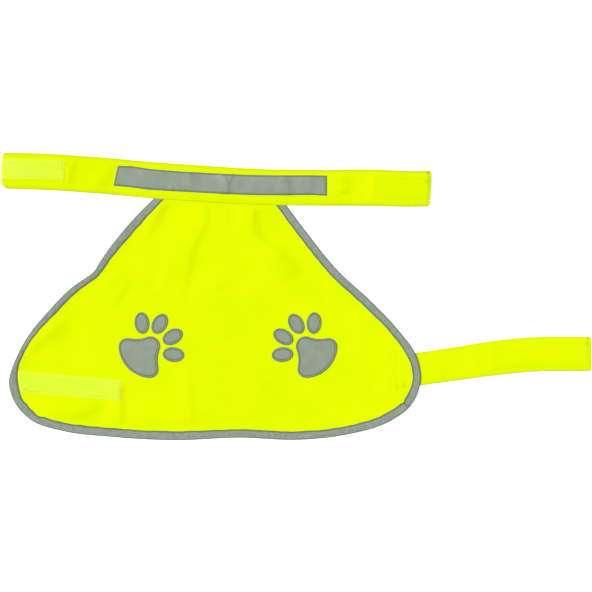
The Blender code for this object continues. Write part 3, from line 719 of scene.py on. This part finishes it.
def closerAtEnds(length, step):
    # distances along a side, with rows that stand closer near both ends
    ends = np.array([0, 0.12, 0.35, 0.8, 1.2, 1.6, 2.0, 2.5, 3.2])
    middle = np.linspace(4, length - 4, round((length - 8) / step) + 1)
    return np.concatenate((ends, middle, length - ends[::-1]))


def sizeOf(flat):
    # length and width of a tape's grid
    return runOf(flat[:, 0])[-1], np.hypot(*(flat[0, -1] - flat[0, 0]))


def buildTape(name, values):
    # a tape on the face of a piece, or under it, with its edges thinned out
    upper, lower = bandSides(values["node"])
    wide, long = np.hypot(*(upper[0] - lower[0])[:2]), runOf(upper)[-1]
    share, run = (closerAtEnds(length, values["step"]) / length for length in (wide, long))
    upper, lower = (along(side, run * runOf(side)[-1])[:, :2] for side in (upper, lower))
    flat = lower[:, None] + (upper - lower)[:, None] * share[None, :, None]
    flat[:, :, 0] += (1 - smoothstep(run / 0.1))[:, None] * (share - 0.35)[None, :] * values["slant"]
    if values["toBinding"]:
        flat = cutToBinding(flat)
    places = flat.reshape(-1, 2)
    rest = heightOf(pieces[values["on"]], values["below"])(places)
    border = np.concatenate((flat[:, 0], flat[-1], flat[::-1, -1], flat[0, ::-1]))
    _, away, _ = nearestOn(along(border, np.arange(0, runOf(border)[-1], 0.3)), places)
    thick = values["thick"]
    seam = values["seamDeep"] * bell(away - values["seamIn"], 0.45)
    rounded = 0.75 * thick * np.exp(-(away / values["thinOver"]) ** 1.5)
    lift = thick - seam - rounded + creaseLift(places, values["creases"])
    lift = np.maximum(lift, thick * 0.25) + layers["restGap"]
    z = rest - lift if values["below"] else rest + lift
    grid = np.concatenate((flat, z.reshape(flat.shape[:2])[:, :, None]), axis=2)
    seamTone, edgeTone, leftTone, rightTone = values["tones"]
    # painted shade in the sewing groove and along the edge
    tone = seamTone * bell(away - values["seamIn"], 0.5) + edgeTone * bell(away, values["thinOver"] + 0.8)
    tone = tone.reshape(flat.shape[:2]) + (leftTone + (rightTone - leftTone) * run)[:, None]
    # painted shade beside each tack
    for back in values["tacks"]:
        tone += 0.6 * bell((1 - run) * long - back, 0.7)[:, None] * smoothstep((share - 0.45) / 0.1)[None, :]
    if values["below"]:
        grid, tone = grid[:, ::-1], tone[:, ::-1]
    addSheet(name, grid, flatGrid(grid), thick * 0.24, tone)
    return flat


tapes = {name: buildTape(name, values) for name, values in tapeTable.items()}
print("tapes made")

# Badges: insets are the rings of points from the edge, closer at the sewing, and shrinks the ones further in
# seamTone and edgeTone paint shade in the sewing groove and along the edge
pawTable = dict(thick=0.42, seamIn=2.1, seamDeep=0.22, step=1.1, seamTone=0.7, edgeTone=0.75,
                insets=(0, 0.1, 0.3, 0.7, 1.1, 1.5, 1.8, 2.1, 2.4, 2.8, 3.3),
                shrinks=(0.86, 0.72, 0.58, 0.44, 0.3, 0.15))
pawNodes = {}
for side in ("left", "right"):
    for part in ("heel", "toe_1", "toe_2", "toe_3", "toe_4"):
        pawNodes["paw" + side.capitalize() + part.capitalize().replace("_", "")] = f"paw_{side}_{part}"


def buildBadge(name, node, values):
    # a cut shape sewn on the panel: rings set in from its outline, then smaller ones down to its middle
    line = smoothLine(nodeOutline(node)[:, :2], values["step"], closed=True)
    count = len(line)
    looped = np.concatenate((line[-2:], line, line[:2]))
    inward = leftOf(looped)[2:-2]
    rings = [line + inward * inset for inset in values["insets"]]
    inmost = rings[-1]
    middle = inmost.mean(axis=0)
    rings += [middle + (inmost - middle) * share for share in values["shrinks"]]
    places = np.concatenate((*rings, [middle]))
    _, away, _ = nearestOn(np.concatenate((line, line[:1])), places)
    seam = values["seamDeep"] * bell(away - values["seamIn"], 0.45)
    rounded = 0.3 * values["thick"] * np.exp(-away / 0.2)
    rest = heightOf(pieces["backPanelCloth"])(places)
    z = rest + layers["restGap"] + np.maximum(values["thick"] - seam - rounded + 0.1, values["thick"] * 0.6)
    faces = []
    for ring in range(len(rings) - 1):
        for i in range(count):
            j = (i + 1) % count
            faces.append((ring * count + i, ring * count + j, (ring + 1) * count + j, (ring + 1) * count + i))
    last = (len(rings) - 1) * count
    faces += [(last + i, last + (i + 1) % count, last + count) for i in range(count)]
    # painted shade in the sewing groove and along the edge
    tone = np.maximum(values["seamTone"] * bell(away - values["seamIn"], 0.5),
                      values["edgeTone"] * bell(away, 1.1))
    piece = addPiece(name, np.column_stack((places, z)), faces, places, tone)
    addWall(piece, values["thick"] * 0.6)
    seam = line + inward * values["seamIn"]
    return np.concatenate((seam, seam[:1]))


badgeSeams = {name: buildBadge(name, node, pawTable) for name, node in pawNodes.items()}
print("paws made")

# One stitch is long, wide and high, its ends go down by sink, and the next follows after pitch. Jitter is how
# far it may lie off along the row, and stray in any direction. Lowest is how low a stitch's middle may lie on
# the underside, so that none goes into the surface, and steepest how much its ends may differ in height.
stitchTable = dict(long=2.1, wide=0.42, high=0.3, sink=0.14, pitch=2.6, jitter=0.12, stray=0.06, lowest=0.2,
                   steepest=0.6, seed=5)


def modelStitch(values):
    # one stitch: thread that comes out of the cloth, runs over it and goes in again
    bpy.ops.object.select_all(action="DESELECT")
    bpy.ops.mesh.primitive_uv_sphere_add(segments=6, ring_count=5, radius=0.5 * mm)
    stitch = bpy.context.object
    bpy.ops.object.mode_set(mode="EDIT")
    bpy.ops.mesh.select_all(action="SELECT")
    bpy.ops.transform.rotate(value=math.pi / 2, orient_axis="Y", center_override=(0, 0, 0))
    size = (values["long"], values["wide"], values["high"])
    bpy.ops.transform.resize(value=size, center_override=(0, 0, 0))
    bpy.ops.mesh.select_all(action="DESELECT")
    work = bmesh.from_edit_mesh(stitch.data)
    for vert in work.verts:
        vert.select = abs(vert.co.x) > 0.42 * values["long"] * mm
    work.select_flush_mode()
    bmesh.update_edit_mesh(stitch.data)
    bpy.ops.transform.translate(value=(0, 0, -values["sink"] * mm))
    bpy.ops.object.mode_set(mode="OBJECT")
    return shapeOf(stitch)


stitchShape = modelStitch(stitchTable)
chance = np.random.default_rng(stitchTable["seed"])


def sew(name, rows):
    # stitches along lines, copied from the one stitch: each row has a line, a height function and its side
    values = stitchTable
    jitter, stray, steepest = values["jitter"], values["stray"], values["steepest"]
    middles, axes = [], []
    for line, height, below in rows:
        length = runOf(line)[-1]
        count = max(int(length / values["pitch"]), 1)
        spots = (np.arange(count) + 0.5) * length / count
        spots = spots + chance.uniform(-jitter, jitter, count)
        here, back, ahead = (along(line, spots + shift * values["long"]) for shift in (0, -0.5, 0.5))
        here = here + chance.uniform(-stray, stray, here.shape)
        z, zBack, zAhead = height(here), height(back), height(ahead)
        if below:
            z, zBack, zAhead = (np.maximum(level, values["lowest"]) for level in (z, zBack, zAhead))
            z = np.maximum(z, (zBack + zAhead) / 2)
        for i in range(count):
            if np.isnan(z[i] + zBack[i] + zAhead[i]):
                continue
            way = np.array((*(ahead[i] - back[i]), np.clip(zAhead[i] - zBack[i], -steepest, steepest)))
            way = way / np.linalg.norm(way)
            side = np.array((-way[1], way[0], 0)) / math.hypot(way[0], way[1])
            up = np.cross(way, side)
            middles.append(np.array((*here[i], z[i])))
            axes.append((way, -side, -up) if below else (way, side, up))
    return addCopies(name, stitchShape, middles, axes)


def bothSides(line, faces):
    # a row that shows above and below
    top, low = faces
    return [(line, top, False), (line, low, True)]


def onTape(flat, path):
    # places on a tape, from distances along it and across it
    lower, upper = flat[:, 0], flat[:, -1]
    long, wide = sizeOf(flat)
    lower, upper = (along(side, path[:, 0] / long * runOf(side)[-1]) for side in (lower, upper))
    return lower + (upper - lower) * (path[:, 1] / wide)[:, None]


def boxLine(flat, inset):
    # a box of sewing, set in from the edges of a tape's grid
    long, wide = sizeOf(flat)
    box = np.array([(0, 0), (1, 0), (1, 1), (0, 1), (0, 0)]) * (long - 2 * inset, wide - 2 * inset) + inset
    return onTape(flat, along(box, np.arange(0, runOf(box)[-1] + 0.1, 0.5)))


def barLine(start, end):
    return np.linspace(start, end, 40)


def tackLine(flat, back, inset):
    # a short row across a tape's upper half, that far from its right end
    long, wide = sizeOf(flat)
    return onTape(flat, barLine((long - back, wide / 2), (long - back, wide - inset)))


def lineAcross(band, distance, inset):
    # a row of sewing across a band, that far from its start
    run = runOf(band["centre"])
    centre = along(band["centre"], [distance])[0]
    down = np.array([np.interp(distance, run, column) for column in band["down"].T])
    half = np.interp(distance, run, band["half"]) - inset
    return barLine(centre - down * half, centre + down * half)


def bandRows(band, faces, ends):
    # both seams along a strap, and a row across it that far from either end
    length = runOf(band["centre"])[-1]
    crossing = [lineAcross(band, distance, 3.4) for distance in (ends[0], length - ends[1])]
    return [row for line in (*band["seams"], *crossing) for row in bothSides(line, faces)]


panelFaces, bindingFaces = facesOf("backPanelCloth"), facesOf("edgeBindingTape")
neckFaces, bellyFaces = facesOf("neckStrapCloth"), facesOf("bellyStrapCloth")
sew("bindingStitching", bothSides(binding["seam"], bindingFaces))
sew("neckStrapStitching", bandRows(neckBand, neckFaces, ends=(2.8, 2.8)))
sew("bellyStrapStitching", bandRows(bellyBand, bellyFaces, ends=(2.8, 3.2)))
stripTop, _ = facesOf("neckReflectiveTape")
sew("reflectiveTapeStitching", [(boxLine(tapes["neckReflectiveTape"], 1.5), stripTop, False)])
for name, (_, under) in (("neckLoopPad", neckFaces), ("bellyLoopPad", panelFaces)):
    values, over = tapeTable[name], heightOf(pieces[name])
    lines = [boxLine(tapes[name], values["seamIn"])]
    lines += [tackLine(tapes[name], back, values["seamIn"]) for back in values["tacks"]]
    sew(name.replace("Pad", "Stitching"), [row for line in lines for row in bothSides(line, (over, under))])
for name, (over, _) in (("neckHookPad", neckFaces), ("bellyHookPad", bellyFaces)):
    box = boxLine(tapes[name], tapeTable[name]["seamIn"])
    sew(name.replace("Pad", "Stitching"), bothSides(box, (over, heightOf(pieces[name], below=True))))
for side in ("Left", "Right"):
    rows = []
    for name, seam in badgeSeams.items():
        if side in name:
            rows += bothSides(seam, (heightOf(pieces[name]), panelFaces[1]))
    sew(f"paw{side}Stitching", rows)
# rows that hold the belly strap under the right lobe
attachmentRows = [((103.4, -57.5), (103.4, -93)), ((108, -57.5), (108.2, -94)),
                  ((115.7, -65.5), (115.9, -90.5))]
rows = []
for start, end in attachmentRows:
    rows += bothSides(barLine(start, end), (panelFaces[0], bellyFaces[1]))
sew("bellyAttachmentStitching", rows)
print("sewing done")

# Pile of the loop pads: radius and thick are one loop's, gap the way from loop to loop, and margin and
# tackGap the bare widths along a tape's edge and beside a tack. Stray is a share of the gap.
pileTable = dict(radius=0.36, thick=0.05, gap=0.78, sink=0.14, margin=2.5, stray=0.4, lean=0.8,
                 sizes=(0.75, 1.25), tackGap=0.75)


def modelLoop(values):
    # one loop of the pile, standing upright
    bpy.ops.object.select_all(action="DESELECT")
    bpy.ops.mesh.primitive_torus_add(major_segments=6, minor_segments=3, major_radius=values["radius"] * mm,
                                     minor_radius=values["thick"] * mm)
    loop = bpy.context.object
    bpy.ops.object.mode_set(mode="EDIT")
    bpy.ops.mesh.select_all(action="SELECT")
    bpy.ops.transform.rotate(value=math.pi / 2, orient_axis="X", center_override=(0, 0, 0))
    bpy.ops.object.mode_set(mode="OBJECT")
    return shapeOf(loop)


def brushPile(name, tape, values):
    # loops all over a tape, each turned, leant and sized a little differently
    flat, height = tapes[tape], heightOf(pieces[tape])
    long, wide = sizeOf(flat)
    margin, stray = values["margin"], values["stray"]
    u, v = (np.arange(margin, length - margin, values["gap"]) for length in (long, wide))
    path = np.stack(np.meshgrid(u, v, indexing="ij"), axis=2).reshape(-1, 2)
    path = path + chance.uniform(-stray, stray, path.shape) * values["gap"]
    for back in tapeTable[tape]["tacks"]:
        sewn = (np.abs(long - path[:, 0] - back) < values["tackGap"]) & (path[:, 1] > 0.5 * wide)
        path = path[~sewn]
    places, count = onTape(flat, path), len(path)
    turns = chance.uniform(0, math.pi, count)
    leans = chance.uniform(-1, 1, count) * values["lean"]
    sizes = chance.uniform(*values["sizes"], count)
    middles, axes = [], []
    for place, z, turn, lean, size in zip(places, height(places), turns, leans, sizes):
        way = np.array((math.cos(turn), math.sin(turn), 0))
        side = np.array((-way[1] * math.cos(lean), way[0] * math.cos(lean), math.sin(lean)))
        up = np.cross(way, side)
        middles.append(np.array((*place, z - values["sink"])) + up * values["radius"] * size)
        axes.append(size * np.array((way, side, up)))
    loop = modelLoop(values)
    _, _, leftTone, rightTone = tapeTable[tape]["tones"]
    tone = np.repeat(leftTone + (rightTone - leftTone) * path[:, 0] / long, len(loop[0]))
    return addCopies(name, loop, middles, axes, tone)


for name in ("neckLoop", "bellyLoop"):
    pile = brushPile(name + "Pile", name + "Pad", pileTable)
    print(pile.name, len(pile.data.polygons))


def linear(code):
    # an sRGB hex value as a linear colour
    parts = [int(code[i:i + 2], 16) / 255 for i in (1, 3, 5)]
    return (*(part / 12.92 if part <= 0.04045 else ((part + 0.055) / 1.055) ** 2.4 for part in parts), 1)


def addNode(tree, kind, inputs=None, **settings):
    node = tree.nodes.new(kind)
    for name, value in settings.items():
        setattr(node, name, value)
    for name, value in (inputs or {}).items():
        if isinstance(value, bpy.types.NodeSocket):
            tree.links.new(value, node.inputs[name])
        else:
            node.inputs[name].default_value = value
    return node


def newMaterial(name, constants):
    material = bpy.data.materials.new(name)
    material.use_nodes = True
    shader = material.node_tree.nodes["Principled BSDF"]
    for socket, value in constants.items():
        shader.inputs[socket].default_value = value
    return material, material.node_tree, shader


def flatAndTone(tree):
    # places on the flat cloth in metres, and its tone: painted shade at seams, edges, folds and knots, with
    # some wear and fading
    flat = addNode(tree, "ShaderNodeUVMap", uv_map="flat").outputs[0]
    return flat, addNode(tree, "ShaderNodeAttribute", attribute_name="tone").outputs["Fac"]


def noise(tree, places, scale, detail, roughness=0.5):
    inputs = {"Vector": places, "Scale": scale, "Detail": detail, "Roughness": roughness}
    return addNode(tree, "ShaderNodeTexNoise", inputs).outputs[0]


def wave(tree, places, spacing, distortion, inputs=None, **settings):
    # bands that far apart in mm; a wave texture repeats every pi / 10 units at scale 1
    scale = math.pi / 10 / (spacing * mm)
    inputs = {"Vector": places, "Scale": scale, "Distortion": distortion, **(inputs or {})}
    return addNode(tree, "ShaderNodeTexWave", inputs, **settings).outputs["Fac"]


def spread(tree, value, start, end, top=1):
    # 0 at start and top at end
    return addNode(tree, "ShaderNodeMapRange", {0: value, 1: start, 2: end, 4: top}).outputs[0]


def combine(tree, operation, first, second):
    return addNode(tree, "ShaderNodeMath", {0: first, 1: second}, operation=operation).outputs[0]


def mixColour(tree, share, first, second):
    first = first if isinstance(first, bpy.types.NodeSocket) else linear(first)
    inputs = {0: share, 6: first, 7: linear(second)}
    return addNode(tree, "ShaderNodeMix", inputs, data_type="RGBA").outputs[2]


def coat(tree, shader, colour, relief, strength, depth):
    # colour and a fine relief, with its depth in mm
    tree.links.new(colour, shader.inputs["Base Color"])
    bump = addNode(tree, "ShaderNodeBump", {"Height": relief, "Strength": strength, "Distance": depth * mm})
    tree.links.new(bump.outputs[0], shader.inputs["Normal"])


# Fluorescent warp-knit polyester, dyed yellow: matt and even, brighter than paper, with a fine upright grain.
# Real wales stand 0.7 mm apart, too fine for this view, so they are drawn at 0.9 mm.
# seam is the darker olive that the tone mixes in: painted shade at seams, edges, folds and knots, and the
# neck strap's even wear
knitTable = dict(base="#DBF100", pale="#E2F600", worn="#D2E700", seam="#8E9E00", tint="#F4FF00", wales=0.9,
                 run=2.6, grain=0.05)


def warpKnit():
    values = knitTable
    material, tree, shader = newMaterial("fluorescent yellow warp-knit polyester", {
        "Roughness": 0.85, "IOR": 1.5, "Specular IOR Level": 0.06, "Specular Tint": linear(values["tint"])})
    flat, tone = flatAndTone(tree)
    repeats = (1000 / values["wales"], 1000 / values["run"], 1)
    upright = addNode(tree, "ShaderNodeMapping", {0: flat, 3: repeats})
    grain = noise(tree, upright.outputs[0], 1, 2)
    broad = noise(tree, flat, 22, 3, 0.55)
    colour = mixColour(tree, spread(tree, broad, 0.35, 0.7), values["base"], values["pale"])
    ribs = wave(tree, flat, values["wales"], 2.2, {"Detail": 2, "Detail Scale": 1.6})
    meshes = combine(tree, "MULTIPLY", ribs, grain)
    colour = mixColour(tree, spread(tree, meshes, 0.5, 0.05, 0.38), colour, values["worn"])
    coat(tree, shader, mixColour(tree, tone, colour, values["seam"]), meshes, 0.6, values["grain"])
    return material


# Grey binding tape, woven with glass beads in its face: even, with worn streaks along it and painted shade
# along its edges, at its roll and in its tucks.
# The weave's threads stand 0.4 mm apart, drawn at 0.8 mm so that they show.
bindingColours = dict(base="#818D84", pale="#9AA698", dark="#525E46", weave=0.8, streak=(45, 900),
                      relief=-0.08)


def beadedBinding():
    values = bindingColours
    material, tree, shader = newMaterial("grey beaded binding tape", {
        "Roughness": 0.55, "IOR": 1.5, "Specular IOR Level": 0.3})
    flat, tone = flatAndTone(tree)
    weave = addNode(tree, "ShaderNodeTexVoronoi", {"Vector": flat, "Scale": 1000 / values["weave"],
                                                   "Randomness": 0.45}).outputs["Distance"]
    lengthwise = addNode(tree, "ShaderNodeMapping", {0: flat, 3: (*values["streak"], 1)})
    worn = combine(tree, "ADD", noise(tree, lengthwise.outputs[0], 1, 3, 0.6), noise(tree, flat, 260, 2))
    colour = mixColour(tree, spread(tree, worn, 0.75, 1.25), values["base"], values["pale"])
    colour = mixColour(tree, spread(tree, weave, 0.15, 0.6, 0.18), colour, values["dark"])
    coat(tree, shader, mixColour(tree, tone, colour, values["dark"]), weave, 0.5, values["relief"])
    return material


# Retroreflective tape: glass beads on grey cloth, smooth and slightly silvery. The beads are 0.05 mm, drawn
# as a speckle of 0.5 mm.
tapeColours = dict(base="#84917F", pale="#929E90", dark="#56614C", bead=0.5, relief=0.04)


def reflectiveTape():
    values = tapeColours
    material, tree, shader = newMaterial("retroreflective glass-bead tape", {
        "Roughness": 0.5, "IOR": 1.5, "Specular IOR Level": 0.28})
    flat, tone = flatAndTone(tree)
    beads = noise(tree, flat, 1000 / values["bead"], 1)
    share = combine(tree, "MULTIPLY", beads, noise(tree, flat, 90, 3))
    colour = mixColour(tree, spread(tree, share, 0.12, 0.4), values["base"], values["pale"])
    # the tone mixes in dark as painted shade at the sewing and along the edges
    coat(tree, shader, mixColour(tree, tone, colour, values["dark"]), beads, 0.4, values["relief"])
    return material


# Loop side of a hook-and-loop fastener: brushed nylon loops, so pale and soft, with a woolly surface.
loopColours = dict(base="#E0F82C", pale="#E8FF44", dark="#B7CB10", light="#EEFF70", tuft=0.6, relief=0.2)


def brushedLoop():
    values = loopColours
    material, tree, shader = newMaterial("brushed nylon loop tape", {
        "Roughness": 0.95, "IOR": 1.5, "Specular IOR Level": 0.15})
    flat, tone = flatAndTone(tree)
    tufts = noise(tree, flat, 1000 / values["tuft"], 3)
    colour = mixColour(tree, spread(tree, tufts, 0.35, 0.7), values["base"], values["pale"])
    # a tone over 0 darkens the bare border beside the pile as painted shade
    colour = mixColour(tree, tone, colour, values["dark"])
    colour = mixColour(tree, spread(tree, tone, 0, -1), colour, values["light"])  # a tone under 0 is paler
    coat(tree, shader, colour, tufts, 0.7, values["relief"])
    return material


# Hook side: moulded nylon on a tight weave with threads every 0.5 mm, slightly glossy.
hookColours = dict(base="#CFE424", pale="#DDF03C", weave=0.5, relief=0.1)


def hookTape():
    values = hookColours
    material, tree, shader = newMaterial("nylon hook tape", {"Roughness": 0.42, "IOR": 1.53})
    flat = addNode(tree, "ShaderNodeUVMap", uv_map="flat").outputs[0]
    weave = wave(tree, flat, values["weave"], 0.4)
    coat(tree, shader, mixColour(tree, weave, values["base"], values["pale"]), weave, 0.5, values["relief"])
    return material


# Spun polyester thread: matt, two plies that twist round each other every 0.8 mm.
threadTable = dict(plies=0.8, relief=0.08)


def thread(name, base, dark):
    values = threadTable
    material, tree, shader = newMaterial(name, {"Roughness": 0.7, "IOR": 1.5, "Specular IOR Level": 0.2})
    place = addNode(tree, "ShaderNodeTexCoord").outputs["Object"]
    plies = wave(tree, place, values["plies"], 1.5, bands_direction="DIAGONAL")
    coat(tree, shader, mixColour(tree, plies, base, dark), plies, 0.5, values["relief"])
    return material


# each finish with its slot and the pieces that have it
finishes = [
    (warpKnit(), "fluorescent_knit", ["backPanelCloth", "neckStrapCloth", "bellyStrapCloth"]),
    (beadedBinding(), "grey_binding", ["edgeBindingTape"]),
    (reflectiveTape(), "reflective_tape", ["neckReflectiveTape", *pawNodes]),
    (brushedLoop(), "loop_tape", ["neckLoopPad", "bellyLoopPad", "neckLoopPile", "bellyLoopPile"]),
    (hookTape(), "hook_tape", ["neckHookPad", "bellyHookPad"]),
    (thread("yellow polyester thread", "#DCF20A", "#D0E600"), "fluorescent_knit",
     ["neckStrapStitching", "bellyStrapStitching", "neckHookStitching", "bellyHookStitching",
      "bellyAttachmentStitching"]),
    (thread("grey polyester thread", "#6A7665", "#566150"), "grey_binding",
     ["bindingStitching", "reflectiveTapeStitching", "pawLeftStitching", "pawRightStitching"]),
    (thread("pale yellow polyester thread", "#DDF22E", "#CFE41C"), "loop_tape",
     ["neckLoopStitching", "bellyLoopStitching"]),
]
finishOf = {name: (material, slot) for material, slot, names in finishes for name in names}
for name, piece in pieces.items():
    material, slot = finishOf[name]
    piece.data.materials.clear()
    piece.data.materials.append(material)
    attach(piece, "root")
print("materials made")

standsFor = {
    "backPanelCloth": "back_panel", "edgeBindingTape": "edge_binding", "neckStrapCloth": "neck_strap",
    "bellyStrapCloth": "belly_strap", "neckReflectiveTape": "neck_reflective_strip",
    "neckLoopPad": "neck_loop_pad", "bellyLoopPad": "belly_loop_pad", "neckHookPad": "neck_hook_pad",
    "bellyHookPad": "belly_hook_pad", **pawNodes,
}
for name, node in standsFor.items():
    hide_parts(node)

# Strengths of the white surroundings, the sun and the floor; the sun's height and softness are in degrees
lightTable = dict(fill=0.49, sun=0.645, height=42, side=(-0.9, 0.44), soft=22, floorGlow=0.4)


def lightStage(values):
    world = bpy.data.worlds.new("white studio")
    bpy.context.scene.world = world
    world.use_nodes = True
    background = world.node_tree.nodes["Background"]
    background.inputs["Color"].default_value = (1, 1, 1, 1)
    background.inputs["Strength"].default_value = values["fill"]
    height = math.radians(values["height"])
    sun = bpy.data.lights.new("softbox", "SUN")
    sun.energy = values["sun"] * math.pi / math.sin(height)
    sun.angle = math.radians(values["soft"])
    lamp = bpy.data.objects.new("softbox", sun)
    bpy.context.collection.objects.link(lamp)
    across = Vector((*values["side"], 0)).normalized() * math.cos(height)
    lamp.rotation_mode = "QUATERNION"
    lamp.rotation_quaternion = (-across - Vector((0, 0, math.sin(height)))).to_track_quat("-Z", "Y")
    bpy.ops.object.select_all(action="DESELECT")
    bpy.ops.mesh.primitive_plane_add(size=16, location=(0, 0, 0))
    floor = bpy.context.object
    floor.name = "floor"
    material, _, _ = newMaterial("white light table", {
        "Roughness": 0.9, "Base Color": (0.95, 0.95, 0.95, 1), "Emission Color": (1, 1, 1, 1),
        "Emission Strength": values["floorGlow"]})
    floor.data.materials.append(material)


# The view is fit times as wide as the vest. Beside is the camera's place from the middle, and above the
# height that is fitted, both in mm.
cameraTable = dict(lens=120, sensor=36, fit=1.002, beside=(-0.1, 0.46), above=1)


def addCamera(values):
    # straight above the vest
    low, high = cadBox
    lens, sensor = values["lens"], values["sensor"]
    camera = bpy.data.objects.new("camera", bpy.data.cameras.new("camera"))
    bpy.context.collection.objects.link(camera)
    camera.data.lens, camera.data.sensor_width = lens, sensor
    away = (high.x - low.x) * values["fit"] * lens / sensor
    x, y = values["beside"]
    camera.location = (x * mm, y * mm, away + values["above"] * mm)
    camera.data.clip_start, camera.data.clip_end = 0.05, 50
    bpy.context.scene.camera = camera


lightStage(lightTable)
addCamera(cameraTable)
bpy.context.scene.view_settings.view_transform = "Standard"

for name in pawNodes:
    side = "Left" if "Left" in name else "Right"

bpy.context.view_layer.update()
triangles = sum(len(face.vertices) - 2 for piece in pieces.values() for face in piece.data.polygons)
print("pieces", len(pieces), "triangles", triangles)
